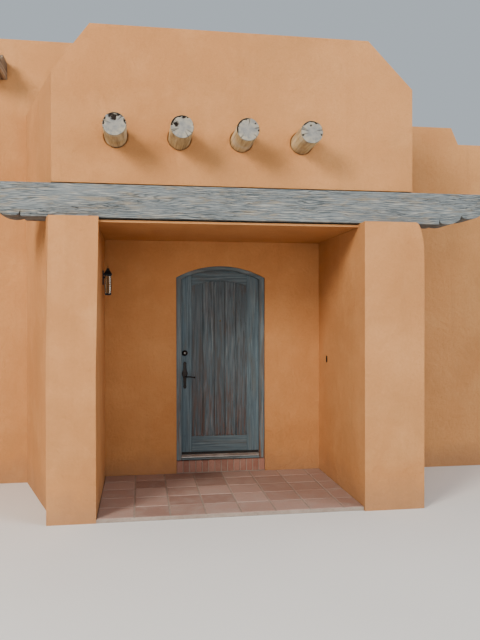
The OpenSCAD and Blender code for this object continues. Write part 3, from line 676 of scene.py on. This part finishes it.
# ------------------------------------------------------------------ roof logs
def build_log(i):
    rnd = random.Random(40 + i)
    cx, cz, r = LOGX(i), LOGZ, 0.1046
    seg, v, f = 144, [], []
    end, rad, crack_and_hollow_shade = [], [], []
    cracks = [(rnd.uniform(0, 2 * math.pi), rnd.uniform(0.35, 0.8), rnd.uniform(0.02, 0.04)) for _ in range(5)]
    # rotten hollows near the rim, as (angle in degrees, share of the radius, size); they are sunk in and painted
    # near-black, which is painted shade
    holes = [[(92, 0.58, 0.30), (112, 0.84, 0.24), (66, 0.86, 0.16), (150, 0.90, 0.13), (20, 0.90, 0.10)],
             [(158, 0.52, 0.24), (78, 0.82, 0.18), (105, 0.90, 0.12), (60, 0.92, 0.10)],
             [(110, 0.93, 0.11), (135, 0.93, 0.12), (160, 0.94, 0.10), (40, 0.80, 0.07)],
             [(70, 0.90, 0.13), (200, 0.80, 0.10), (100, 0.55, 0.09)]][i]
    holes += [(rnd.uniform(-25, 205), rnd.uniform(0.86, 0.96), rnd.uniform(0.045, 0.085)) for _ in range((8, 5, 5, 5)[i])]
    # open groove under the rim, as (middle and half width in degrees, depth share); it is sunk in and painted
    # near-black, which is painted shade
    rim_mid, rim_half, rim_deep = ((86, 40, 1.0), (118, 60, 1.0), (142, 64, 1.0), (98, 52, 0.85))[i]

    def radius(a, y):
        return r * (1 - 0.045 * (0.5 + 0.5 * noise.noise(Vector((math.cos(a) * 1.3, y * 2.2, math.sin(a) * 1.3 + i * 7)))))

    def ring(y, k, e, tag):
        for j in range(seg):
            a = 2 * math.pi * j / seg
            rr = radius(a, y) * k
            x, z = rr * math.cos(a), rr * math.sin(a)
            # c is how near-black the end is painted here: real cracks, and painted shade in the hollows and the rim
            # groove
            d, c = 0.0, 0.0
            if e:
                for ca, ln, w in cracks:
                    da = (a - ca + math.pi) % (2 * math.pi) - math.pi
                    lat = abs(da) * k * r
                    wid = w * r * max(0.0, (k - (1 - ln)) / max(ln, 0.01)) + 0.0008
                    if k > 1 - ln and lat < wid * 1.6:
                        c = max(c, 0.7 * (1 - lat / (wid * 1.6)))
                for ha, hr, hs in holes:
                    q = math.radians(ha)
                    h = math.hypot(x - hr * r * math.cos(q), z - hr * r * math.sin(q)) / (hs * r)
                    h += 0.55 * noise.noise(Vector((x * 60, i * 5 + ha, z * 60))) + (0.9 * noise.noise(Vector((x * 170, i * 5 + ha, z * 170))) if hs < 0.1 else 0.0)
                    c = max(c, min(1.0, 2.4 * (1 - h)))
                away = abs((math.degrees(a) - rim_mid + 180) % 360 - 180)
                part = rim_deep * min(1.0, max(0.0, (rim_half - away) / 14))
                part *= min(1.0, max(0.0, (k - 0.862 + 0.03 * noise.noise(Vector((a * 3, i * 9, 0))) * 2) / 0.03)) * min(1.0, max(0.0, (0.99 - k) / 0.015))
                c = max(c, part)
                d = 0.018 * c + 0.0035 * noise.noise(Vector((x * 30, i * 3, z * 30)))
            v.append(P(cx + x, y + max(0.0, d), cz + z))
            end.append(1.0 if e else 0.0)
            rad.append(k)
            crack_and_hollow_shade.append(c)
        tag.append(len(v) - seg)

    rows = []
    front = -0.388
    for k in (0.04, 0.12, 0.20, 0.28, 0.36, 0.43, 0.49, 0.55, 0.61, 0.67, 0.72, 0.77, 0.81, 0.84, 0.865, 0.89, 0.915, 0.94, 0.965):
        ring(front, k, True, rows)
    ring(front + 0.003, 0.99, True, rows)
    for y in (front + 0.010, front + 0.035, -0.33, -0.27, -0.2, -0.12, -0.05, 0.02, 0.10, 0.2):
        ring(y, 1.0, False, rows)
    for a, b in zip(rows, rows[1:]):
        f += [(a + j, a + (j + 1) % seg, b + (j + 1) % seg, b + j) for j in range(seg)]
    f.append(tuple(rows[0] + j for j in range(seg))[::-1])
    f.append(tuple(rows[-1] + j for j in range(seg)))
    o = obj_from(f"roof_log_{i + 1}_timber", v, f)
    # 'crack' carries the real cracks and the painted shade of the hollows and the rim groove
    for n, val in (("end", end), ("rad", rad), ("crack", crack_and_hollow_shade)):
        tint(o, val, n)
    for p in o.data.polygons:
        p.use_smooth = True
    finish_piece(o, LOG, HOUSE, [f"roof_log_{i + 1}"])


for i in range(4):
    build_log(i)


# ------------------------------------------------------------------ floors
def grid(x0, x1, y0, y1, z0, z1, size, joint, off=0.0, skip=None):
    out = []
    nx, ny = round((x1 - x0) / size), round((y1 - y0) / size)
    sx, sy = (x1 - x0) / nx, (y1 - y0) / ny
    for a in range(nx):
        for b in range(ny):
            out.append((x0 + a * sx + joint / 2, x0 + (a + 1) * sx - joint / 2, y0 + b * sy + joint / 2, y0 + (b + 1) * sy - joint / 2, z0, z1))
    return out


# whole tiles from the left wall and from the front, cut ones at the right wall and at the back
xs = [IL] + [IL + 0.010 + 0.326 * k for k in range(1, 8)] + [IR]
ys = [-0.158 + 0.326 * k for k in range(5)] + [FACE]
porch = [(a + 0.007, b - 0.007, c + 0.007, d - 0.007, -0.012, -0.0005) for a, b in zip(xs, xs[1:]) for c, d in zip(ys, ys[1:])]
blocks("porch_tiles", porch, 0.005, CLAY, seed=5, wob=0.0022)
bed = obj_from("porch_bed", *cube(IL, IR, -0.156, FACE, G, -0.0045))
finish_piece(soften(bed, 0.004, 2), MORTAR, HOUSE, ["porch_floor"])
blocks("indoor_tiles", grid(-4.82, 4.82, INY, BIN, 0.168, 0.1795, 0.34, 0.010), 0.004, CLAY, seed=9, wob=0.001)
blocks("niche_tiles", grid(-0.541, 0.541, 1.556, INY, 0.168, 0.1795, 0.27, 0.010), 0.004, CLAY, seed=11, wob=0.001)
bed2 = obj_from("indoor_bed", *join([cube(-4.82, 4.82, INY, BIN, G, 0.1755), cube(-0.541, 0.541, 1.555, INY, G, 0.1755)]))
finish_piece(soften(bed2, 0.003, 1, smooth=False), MORTAR, HOUSE, ["floor_slab"])

# step of bricks on edge under the door
bw = 1.034 / 14
blocks("door_step_bricks",
       [(-0.517 + bw * k + 0.004, -0.517 + bw * (k + 1) - 0.004, FACE + 0.001, 1.552, 0.006, 0.138) for k in range(14)],
       0.005, BRICK, seed=3, wob=0.002)
core = obj_from("door_step_mortar", *cube(-0.516, 0.516, FACE + 0.006, 1.553, G, 0.132))
finish_piece(soften(core, 0.003, 1), MORTAR, HOUSE, ["door_step"])
sill = obj_from("door_sill_timber", *prism([(1.449, 0.141), (1.554, 0.141), (1.554, 0.172), (1.449, 0.160)], -0.4565, 0.4565, "x"))
finish_piece(soften(sill, 0.004, 2), FRAMEWOOD_X, HOUSE)
th = [(1.470, 0.164), (1.553, 0.170), (1.553, 0.195), (1.530, 0.195), (1.526, 0.190), (1.520, 0.190), (1.516, 0.195), (1.506, 0.195), (1.502, 0.189), (1.496, 0.189), (1.490, 0.193), (1.470, 0.172)]
thr = obj_from("door_threshold_strip", *prism(th, -0.4562, 0.4562, "x"))
finish_piece(soften(thr, 0.0014, 2, 20), ALU, HOUSE, ["door_threshold"])

# ------------------------------------------------------------------ door frame: two jambs and a head, each with its own grain
def door_frame():
    o = bpy.data.objects.new("door_frame_shown", NODES["door_frame"].data.copy())
    bpy.context.scene.collection.objects.link(o)
    tidy(o)
    spring = ARC_Z + math.sqrt(1.06291 ** 2 - 0.517 ** 2) - 0.002
    bm = bmesh.new()
    bm.from_mesh(o.data)
    bmesh.ops.bisect_plane(bm, geom=bm.verts[:] + bm.edges[:] + bm.faces[:], dist=1e-5, plane_co=P(0, 0, spring), plane_no=(0, 0, 1))
    bm.to_mesh(o.data)
    bm.free()
    soften(o, 0.005, 3, 30)
    finish_piece(o, FRAMEWOOD, HOUSE, ["door_frame"])
    o.data.materials.append(FRAMEWOOD_X)
    for p in o.data.polygons:
        if p.center.z > OZ + spring:
            p.material_index = 1


door_frame()
rounded("door_hinges", 0.0012, IRON, HOUSE, 2, 35)

# ------------------------------------------------------------------ door leaf: rails, stiles and planks
LY, LB = 1.505, 1.550
LHW, LR = 0.469, ARC_R + 0.012
PX0, PX1, PZ0, PR = -0.336, 0.316, 0.404, ARC_R - 0.122


def strip(outer, inner, y0, y1):
    """Ring-shaped plate between two outlines with the same number of points."""
    n = len(outer)
    v = [P(x, y0, z) for x, z in outer] + [P(x, y0, z) for x, z in inner] + [P(x, y1, z) for x, z in outer] + [P(x, y1, z) for x, z in inner]
    f = []
    for i in range(n - 1):
        j = i + 1
        f += [(i, j, n + j, n + i), (2 * n + i, 3 * n + i, 3 * n + j, 2 * n + j), (i, 2 * n + i, 2 * n + j, j), (n + i, n + j, 3 * n + j, 3 * n + i)]
    f += [(0, n, 3 * n, 2 * n), (n - 1, 2 * n + n - 1, 3 * n + n - 1, n + n - 1)]
    return v, f


def arc_pts(x0, x1, r, n=30):
    return [(x0 + (x1 - x0) * i / n, ARC_Z + math.sqrt(r * r - (x0 + (x1 - x0) * i / n) ** 2)) for i in range(n + 1)]


def build_leaf():
    def edge(x, r):
        return ARC_Z + math.sqrt(r * r - x * x)
    e = 0.0006
    # stiles run from bottom to arch, their heads follow the arch
    stiles = join([
        prism([(-LHW, 0.201), (PX0 - e, 0.201), (PX0 - e, edge(PX0, LR))] + arc_pts(PX0, -LHW, LR, 6)[1:], LY, LB, "y"),
        prism([(PX1 + e, 0.201), (LHW, 0.201)] + arc_pts(LHW, PX1, LR, 6), LY, LB, "y")])
    rails = join([
        prism([(PX0 + e, 0.201), (PX1 - e, 0.201), (PX1 - e, PZ0), (PX0 + e, PZ0)], LY, LB, "y"),
        strip(arc_pts(PX0 + e, PX1 - e, LR), arc_pts(PX0 + e, PX1 - e, PR), LY, LB)])
    o = obj_from("front_door_stiles", *stiles)
    soften(o, 0.0035, 3, 35)
    boolean(o, obj_from("bore", *bore(-0.415, 1.10, 0.0081, LY - 0.01, LB + 0.01)), "DIFFERENCE")
    finish_piece(o, STILEWOOD, DOOR, ["front_door"])
    o = obj_from("front_door_rails", *rails)
    soften(o, 0.0035, 3, 35)
    finish_piece(o, RAILWOOD, DOOR, ["front_door"])
    # five planks with V joints, their heads under the arched rail
    xs = [PX0 - 0.004, -0.203, -0.072, 0.056, 0.188, PX1 + 0.004]
    v, f, t = [], [], []
    rnd = random.Random(8)
    for a, b in zip(xs, xs[1:]):
        c, y0, y1 = 0.0055, LY + 0.009, LB - 0.009
        tn = rnd.random()
        sec = [(a + 0.0007, y0 + c), (a + c, y0 + 0.0004), (b - c, y0 + 0.0004), (b - 0.0007, y0 + c), (b - 0.0007, y1 - c), (b - c, y1), (a + c, y1), (a + 0.0007, y1 - c)]
        k = len(v)
        for z in (PZ0 - 0.006, None):
            for x, y in sec:
                v.append(P(x, y, z if z is not None else ARC_Z + math.sqrt((PR + 0.006) ** 2 - x * x)))
        n = 8
        f += [tuple(k + i for i in range(n))[::-1], tuple(k + n + i for i in range(n))]
        f += [(k + i, k + (i + 1) % n, k + n + (i + 1) % n, k + n + i) for i in range(n)]
        t += [tn] * 16
    o = obj_from("front_door_planks", v, f)
    tint(o, t)
    finish_piece(o, DOORWOOD, DOOR, ["front_door"])
    # thin moulding round the recess, outside and inside
    for nm, ya, yb in (("out", LY + 0.001, LY + 0.0092), ("in", LB - 0.0092, LB - 0.001)):
        def ring_pts(d):
            x0, x1 = PX0 + d, PX1 - d
            return [(x0, PZ0 + d), (x1, PZ0 + d)] + arc_pts(x1, x0, PR - d, 24) + [(x0, PZ0 + d)]
        o = obj_from("front_door_bead_" + nm, *strip(ring_pts(-0.001), ring_pts(0.010), ya, yb))
        tint(o, [0.15] * len(o.data.vertices))
        soften(o, 0.003, 2, 30)
        finish_piece(o, DOORWOOD, DOOR, ["front_door"])
    sw = obj_from("front_door_sweep", *cube(-0.452, 0.452, LY - 0.0035, LY + 0.002, 0.202, 0.224))
    finish_piece(soften(sw, 0.0012, 2), SWEEP, DOOR, ["front_door"])


def bore(x, z, r, y0, y1, n=40):
    return prism([(x + r * math.cos(2 * math.pi * i / n), z + r * math.sin(2 * math.pi * i / n)) for i in range(n)], y0, y1, "y")


build_leaf()


# ------------------------------------------------------------------ door hardware
def lathe_y(name, x, z, prof, mat, body, nodes=(), seg=48):
    """Turned part about an axis along Y: prof is a list of (y, radius)."""
    v, f = [], []
    for y, r in prof:
        v += [P(x + r * math.cos(2 * math.pi * j / seg), y, z + r * math.sin(2 * math.pi * j / seg)) for j in range(seg)]
    for a in range(len(prof) - 1):
        f += [(a * seg + j, a * seg + (j + 1) % seg, (a + 1) * seg + (j + 1) % seg, (a + 1) * seg + j) for j in range(seg)]
    f += [tuple(range(seg))[::-1], tuple((len(prof) - 1) * seg + j for j in range(seg))]
    o = obj_from(name, v, f)
    for p in o.data.polygons:
        p.use_smooth = len(p.vertices) == 4
    return finish_piece(o, mat, body, nodes)


HX, HZ = -0.415, 1.100
plate = []
for side, y0, y1 in ((1, LY - 0.006, LY + 0.0002), (-1, LB - 0.0002, LB + 0.006)):
    out = []
    n = 64
    for i in range(n):
        # outline of a long narrow plate with an oval middle and pointed ends
        a = 2 * math.pi * i / n
        z = 0.1565 * math.sin(a)
        w = 0.0185 * (abs(math.cos(a)) ** 0.28 if abs(math.cos(a)) > 1e-9 else 0.0)
        bulge = 0.0155 * math.exp(-((z - 0.0175) / 0.032) ** 2) + 0.004 * math.exp(-((abs(z) - 0.135) / 0.010) ** 2)
        out.append((HX + math.copysign(w + bulge * min(1, w / 0.01), math.cos(a)), 1.1195 + z))
    plate.append(prism(out, y0, y1, "y"))
o = obj_from("door_handle_plates", *join(plate))
soften(o, 0.002, 3, 40)
boolean(o, obj_from("bore", *bore(HX, HZ, 0.0081, LY - 0.02, LB + 0.02)), "DIFFERENCE")
finish_piece(o, IRON, DOOR, ["door_escutcheon"])
for tag, s, y in (("out", -1, LY), ("in", 1, LB)):
    lathe_y("door_deadbolt_" + tag, HX, 1.376, [(y - s * 0.0005, 0.031), (y + s * 0.001, 0.0325), (y + s * 0.004, 0.0325), (y + s * 0.0065, 0.030),
            (y + s * 0.0075, 0.022), (y + s * 0.0095, 0.0205), (y + s * 0.0125, 0.020), (y + s * 0.0138, 0.018), (y + s * 0.0138, 0.0112), (y + s * 0.0105, 0.0105)],
            IRON, DOOR, ["door_deadbolt"])
lathe_y("door_deadbolt_core", HX, 1.376, [(LY - 0.010, 0.0095), (LY - 0.0126, 0.0095), (LY - 0.0134, 0.0087)], CORE, DOOR)
# a thin black bar stands for the keyhole slot: painted shade of the slot
keyway_shade_bar = obj_from("door_deadbolt_keyway_shade", *cube(HX - 0.0011, HX + 0.0011, LY - 0.0138, LY - 0.012, 1.370, 1.382))
finish_piece(keyway_shade_bar, SWEEP, DOOR)
turn = obj_from("door_deadbolt_turn", *cube(HX - 0.004, HX + 0.004, LB + 0.012, LB + 0.0138, 1.360, 1.392))
finish_piece(soften(turn, 0.0008, 2), IRON, DOOR)
for k, (dz, s) in enumerate(((0.134, -1), (-0.128, -1), (0.134, 1), (-0.128, 1))):
    y = LY - 0.006 if s < 0 else LB + 0.006
    lathe_y(f"door_handle_screw_{k + 1}", HX, 1.1195 + dz, [(y - s * 0.001, 0.0052), (y + s * 0.0006, 0.0050), (y + s * 0.0018, 0.0034), (y + s * 0.0022, 0.0012)], IRON, DOOR, seg=20)
lathe_y("door_peephole_ring", 0.0, 1.750, [(LY + 0.012, 0.0088), (LY + 0.002, 0.0088), (LY - 0.002, 0.0088), (LY - 0.0045, 0.0072), (LY - 0.0045, 0.0045), (LY - 0.001, 0.004)], BRASS, DOOR, ["door_peephole"])


def tube(path, radii, seg=24, caps=True):
    """Round bar along a path of points (drawing frame)."""
    v, f = [], []
    up = Vector((0, 0, 1))
    pts = [Vector(p) for p in path]
    for i, (p, r) in enumerate(zip(pts, radii)):
        d = (pts[min(i + 1, len(pts) - 1)] - pts[max(i - 1, 0)]).normalized()
        a = d.cross(up)
        a = a.normalized() if a.length > 1e-6 else Vector((1, 0, 0))
        b = d.cross(a)
        for j in range(seg):
            q = p + (a * math.cos(2 * math.pi * j / seg) + b * math.sin(2 * math.pi * j / seg)) * r
            v.append(P(*q))
    for i in range(len(pts) - 1):
        f += [(i * seg + j, i * seg + (j + 1) % seg, (i + 1) * seg + (j + 1) % seg, (i + 1) * seg + j) for j in range(seg)]
    f += [tuple(range(seg))[::-1], tuple((len(pts) - 1) * seg + j for j in range(seg))]
    return v, f


lev = [tube([(HX, LY - 0.054, HZ), (HX, LY - 0.050, HZ), (HX, LY - 0.02, HZ), (HX, LY, HZ), (HX, LB, HZ), (HX, LB + 0.02, HZ), (HX, LB + 0.050, HZ), (HX, LB + 0.054, HZ)],
            [0.005, 0.0078, 0.0078, 0.0078, 0.0078, 0.0078, 0.0078, 0.005])]
for y in (LY - 0.047, LB + 0.047):
    path, rad = [], []
    for i in range(29):
        s = i / 28
        x = HX - 0.006 + 0.122 * s
        z = HZ + 0.0035 * math.sin(s * math.pi * 1.25) - 0.0035 * s * s
        bulb = 0.0108 * math.sqrt(max(0.0, 1 - ((x - (HX + 0.112)) / 0.0115) ** 2)) if abs(x - (HX + 0.112)) < 0.0115 else 0
        path.append((x, y, z))
        rad.append(max(0.0014, bulb, 0.0074 - 0.0028 * s if x < HX + 0.106 else 0.0))
    rad[0] = 0.004
    lev.append(tube(path, rad))
    lev.append(tube([(HX, y - 0.004 * (1 if y < LY else -1) * -1, HZ), (HX, y, HZ)], [0.0105, 0.0105]))
o = obj_from("door_lever_forged", *join(lev))
for p in o.data.polygons:
    p.use_smooth = len(p.vertices) == 4
finish_piece(o, IRON, LEVER, ["door_lever"])

# ------------------------------------------------------------------ roofs, inner beam, lintels, windows, drains
for n in ("main_roof", "wing_roof", "entry_roof"):
    NODES[n].data.materials.clear()
    NODES[n].data.materials.append(ROOFING)
rounded("roof_step_beam", 0.008, TIMBER_Y, HOUSE, 2)


def window(name, place, rail_mat):
    """One window of boards, drawn as (sideways, depth from the outer face, height), then put in its wall."""
    def board(s0, s1, d0, d1, z0, z1):
        pts = [(s, d) for s, d in ((s0, d0), (s1, d0), (s1, d1), (s0, d1))]
        v = [P(*place(s, d), z) for z in (z0, z1) for s, d in pts]
        return v, [(3, 2, 1, 0), (4, 5, 6, 7), (0, 1, 5, 4), (1, 2, 6, 5), (2, 3, 7, 6), (3, 0, 4, 7)]
    a, b, zb, zt = 0.1802, 0.2498, 1.0802, 2.2796
    up = [board(-0.4498, -0.3900, a, b, zb, zt), board(0.3900, 0.4498, a, b, zb, zt), board(-0.0240, 0.0240, a, b, zb + 0.0598, zt - 0.0596)]
    flat = [board(-0.3896, 0.3896, a + 0.001, b - 0.001, zb, zb + 0.0598), board(-0.3896, 0.3896, a + 0.001, b - 0.001, zt - 0.0596, zt)]
    # glazing beads on both sides of the glass
    for s0, s1 in ((-0.3895, -0.0245), (0.0245, 0.3895)):
        for d0, d1 in ((a + 0.012, a + 0.0275), (a + 0.0405, a + 0.056)):
            up += [board(s0, s0 + 0.012, d0, d1, zb + 0.060, zt - 0.060), board(s1 - 0.012, s1, d0, d1, zb + 0.060, zt - 0.060)]
            flat += [board(s0 + 0.0122, s1 - 0.0122, d0, d1, zb + 0.060, zb + 0.072), board(s0 + 0.0122, s1 - 0.0122, d0, d1, zt - 0.072, zt - 0.060)]
    for tag, parts, mat in (("uprights", up, WINWOOD), ("rails", flat, rail_mat)):
        o = obj_from(f"{name}_{tag}", *join(parts))
        soften(o, 0.003, 2, 40)
        finish_piece(o, mat, HOUSE, ["window_frames"])


window("window_wing_front", lambda s, d: (4.0 + s, FACE + d), WINWOOD_X)
for k, x in enumerate((4.0, -0.9, -3.4)):
    window(f"window_back_{k + 1}", lambda s, d, x=x: (x - s, BACK - d), WINWOOD_X)
for k, y in enumerate((3.3, 5.9)):
    window(f"window_left_{k + 1}", lambda s, d, y=y: (-SIDE + d, y - s), WINWOOD_Y)
    window(f"window_right_{k + 1}", lambda s, d, y=y: (SIDE - d, y + s), WINWOOD_Y)
NODES["window_glass"].data.materials.clear()
NODES["window_glass"].data.materials.append(GLASS)
lint = rounded("window_lintels", 0.009, TIMBER, HOUSE, 2)
lint.data.materials.append(TIMBER_Y)
for p in lint.data.polygons:
    if abs(p.center.x) > 4.8:
        p.material_index = 1


def drain(name, node, origin, turn, length, w, h):
    """Trough of three boards with shaped cheeks and a metal lining. Drawn along +Y from the roof side, then turned."""
    e = length - 0.45
    bump = [(e + 0.326 + 0.039 * math.cos(math.radians(a)), 0.098 + 0.039 * math.sin(math.radians(a))) for a in range(-55, 141, 15)]
    side = [(0.001, 0.0005), (e + 0.3315, 0.0005), (e + 0.3418, 0.0130), (length, 0.0148), (length, 0.0385),
            (e + 0.379, 0.0392), (e + 0.3772, 0.0622), (e + 0.3490, 0.0622)] + bump
    side += [(e + x, 0.1225 + (0.271 - x) / 0.068 * (h - 0.112)) for x in (0.270, 0.246, 0.222, 0.2105)]
    side += [(e + 0.2045, h + 0.0085), (e + 0.196, h + 0.0105), (e + 0.002, h - 0.001), (0.001, h - 0.001)]
    base = [(0.001, 0.0015), (e + 0.3312, 0.0015), (e + 0.3412, 0.0140), (length - 0.001, 0.0158), (length - 0.001, 0.0385), (0.001, 0.0385)]

    def place(part):
        v, f = part
        c, s_ = math.cos(turn), math.sin(turn)
        out = []
        for q in v:
            x, y = q[0] - OX, q[1] - OY
            out.append((origin[0] + c * x - s_ * y + OX, origin[1] + s_ * x + c * y + OY, q[2] + origin[2]))
        return out, f
    parts = [prism(side, a, b, "x") for a, b in ((0.001, 0.0395), (w - 0.0395, w - 0.001))]
    parts.append(prism(base, 0.0400, w - 0.0400, "x"))
    o = obj_from(name + "_boards", *place(join(parts)))
    soften(o, 0.003, 2, 30)
    finish_piece(o, DRAINWOOD_X if abs(math.sin(turn)) > 0.5 else DRAINWOOD, HOUSE, [node])
    y0, y1 = 0.02, length - 0.0005
    lip = obj_from(name + "_lining", *place(join([
        cube(0.041, w - 0.041, y0, y1, 0.0385, 0.0399),
        cube(0.0401, 0.0415, y0, e + 0.345, 0.0385, 0.075),
        cube(w - 0.0415, w - 0.0401, y0, e + 0.345, 0.0385, 0.075)])))
    finish_piece(lip, ALU, HOUSE)


drain("roof_drain_front", "roof_drain_front", (-2.368, INY, 4.41), math.pi, 0.83, 0.28, 0.186)
for k, (x, z) in enumerate(((-4.2, 4.41), (0.1, 4.41), (3.3, 3.52))):
    drain(f"roof_drain_back_{k + 1}", "roof_drains", (x, BIN, z), 0.0, 0.83, 0.28, 0.186)
drain("roof_drain_entry", "roof_drains", (IR, 1.33, 3.709), -math.pi / 2, 0.998, 0.20, 0.19)


# ------------------------------------------------------------------ wall lantern
def lantern():
    x0, y0, z0 = IL, 1.0, 2.030
    cx = x0 + 0.055

    def sq(hw, za, zb, hw2=None):
        hw2 = hw if hw2 is None else hw2
        v = [P(cx + sx * hw, y0 + sy * hw, z0 + za) for sx, sy in ((-1, -1), (1, -1), (1, 1), (-1, 1))] + \
            [P(cx + sx * hw2, y0 + sy * hw2, z0 + zb) for sx, sy in ((-1, -1), (1, -1), (1, 1), (-1, 1))]
        return v, [(3, 2, 1, 0), (4, 5, 6, 7), (0, 1, 5, 4), (1, 2, 6, 5), (2, 3, 7, 6), (3, 0, 4, 7)]
    parts = [cube(x0, x0 + 0.010, y0 - 0.045, y0 + 0.045, z0 + 0.11, z0 + 0.26),
             cube(x0 + 0.004, cx - 0.03, y0 - 0.008, y0 + 0.008, z0 + 0.178, z0 + 0.198),
             sq(0.028, 0.0, 0.008), sq(0.034, 0.008, 0.018), sq(0.034, 0.205, 0.214), sq(0.044, 0.214, 0.222), sq(0.043, 0.222, 0.262, 0.020),
             sq(0.018, 0.262, 0.286, 0.012)]
    for sx in (-1, 1):
        for sy in (-1, 1):
            parts.append(cube(cx + sx * 0.030 - 0.0028, cx + sx * 0.030 + 0.0028, y0 + sy * 0.030 - 0.0028, y0 + sy * 0.030 + 0.0028, z0 + 0.016, z0 + 0.207))
    for sy in (-1, 1):
        parts.append(cube(cx - 0.002, cx + 0.002, y0 + sy * 0.0305 - 0.0015, y0 + sy * 0.0305 + 0.0015, z0 + 0.016, z0 + 0.207))
    for sx in (-1, 1):
        parts.append(cube(cx + sx * 0.0305 - 0.0015, cx + sx * 0.0305 + 0.0015, y0 - 0.002, y0 + 0.002, z0 + 0.016, z0 + 0.207))
    o = obj_from("porch_lantern_body", *join(parts))
    soften(o, 0.0012, 2, 30)
    finish_piece(o, LANTERN, HOUSE, ["porch_lantern"])
    g = obj_from("porch_lantern_glass", *join([
        cube(cx - 0.028, cx + 0.028, y0 - 0.0295, y0 - 0.0275, z0 + 0.017, z0 + 0.206), cube(cx - 0.028, cx + 0.028, y0 + 0.0275, y0 + 0.0295, z0 + 0.017, z0 + 0.206),
        cube(cx - 0.0295, cx - 0.0275, y0 - 0.027, y0 + 0.027, z0 + 0.017, z0 + 0.206), cube(cx + 0.0275, cx + 0.0295, y0 - 0.027, y0 + 0.027, z0 + 0.017, z0 + 0.206)]))
    finish_piece(g, LAMPGLASS, HOUSE)
    ring = tube([(cx, y0 + 0.012 * math.cos(a / 10 * 2 * math.pi), z0 + 0.302 + 0.012 * math.sin(a / 10 * 2 * math.pi)) for a in range(11)], [0.0022] * 11, 10)
    r = obj_from("porch_lantern_ring", *ring)
    finish_piece(r, LANTERN, HOUSE)


lantern()


# ------------------------------------------------------------------ bell button on the alcove's right wall
def doorbell(y0=1.085, z0=1.317):
    def stadium(w, h):
        return [(y0 + w * math.cos(a), z0 + math.copysign(h - w, math.sin(a)) + w * math.sin(a))
                for a in ((j + 0.5) * math.pi / 16 for j in range(32))]
    o = obj_from("doorbell_plate", *prism(stadium(0.0137, 0.0377), IR - 0.0086, IR, "x"))
    finish_piece(soften(o, 0.0025, 3, 40), IRON, HOUSE, ["doorbell"])
    o = obj_from("doorbell_button", *tube([(IR - 0.008, y0, z0), (IR - 0.0115, y0, z0), (IR - 0.0125, y0, z0), (IR - 0.0128, y0, z0)],
                                         [0.0074, 0.0074, 0.0064, 0.004], 32))
    finish_piece(o, BRASS, HOUSE)
    o = obj_from("doorbell_screws", *join([
        tube([(IR - 0.008, y0, z0 + dz), (IR - 0.0093, y0, z0 + dz), (IR - 0.0098, y0, z0 + dz)], [0.0034, 0.0034, 0.0022], 20) for dz in (-0.027, 0.027)]))
    finish_piece(o, IRON, HOUSE)


doorbell()

# ------------------------------------------------------------------ floor and light
floor = obj_from("studio_floor", [(-60, -60, 0), (60, -60, 0), (60, 60, 0), (-60, 60, 0)], [(0, 1, 2, 3)])
kf = Mat("studio_floor")
nf = kf.noise(0.4, 3)
kf.done(kf.mix(kf.rng(nf, 0.3, 0.7), (0.66, 0.65, 0.63), (0.70, 0.69, 0.67)), 0.8, spec=0.2)
floor.data.materials.append(kf.m)


def area(name, loc, aim, size, power, color=(1, 1, 1)):
    l = bpy.data.lights.new(name, "AREA")
    l.shape, l.size, l.energy, l.color = "DISK", size, power, color
    o = bpy.data.objects.new(name, l)
    bpy.context.scene.collection.objects.link(o)
    o.location = loc
    o.rotation_mode = "QUATERNION"
    o.rotation_quaternion = (Vector(aim) - Vector(loc)).to_track_quat("-Z", "Y")


area("key_light", (-11, -15, 10), (0, -1.5, 2), 6, 2700, (1.0, 0.93, 0.84))
area("fill_light", (13, -13, 8), (0, -1, 2), 11, 1500, (0.90, 0.95, 1.0))
area("porch_fill", (-2.5, -17, 2.6), (-0.2, -2, 1.2), 9, 600, (1.0, 0.96, 0.92))
area("main_room_light", (-1.8, 0.6, 3.85), (-1.8, 0.6, 0), 2.5, 160, (1.0, 0.93, 0.84))
area("wing_room_light", (3.3, 0.6, 3.2), (3.3, 0.6, 0), 1.8, 80, (1.0, 0.93, 0.84))
area("back_light", (0, 18, 12), (0, 0, 2), 12, 1800, (0.95, 0.97, 1.0))
w = bpy.data.worlds.new("studio")
w.use_nodes = True
w.node_tree.nodes["Background"].inputs[0].default_value = (0.80, 0.88, 0.95, 1)
w.node_tree.nodes["Background"].inputs[1].default_value = 0.50
bpy.context.scene.world = w
bpy.context.scene.view_settings.view_transform = "AgX"
bpy.context.scene.view_settings.look = "AgX - Medium High Contrast"
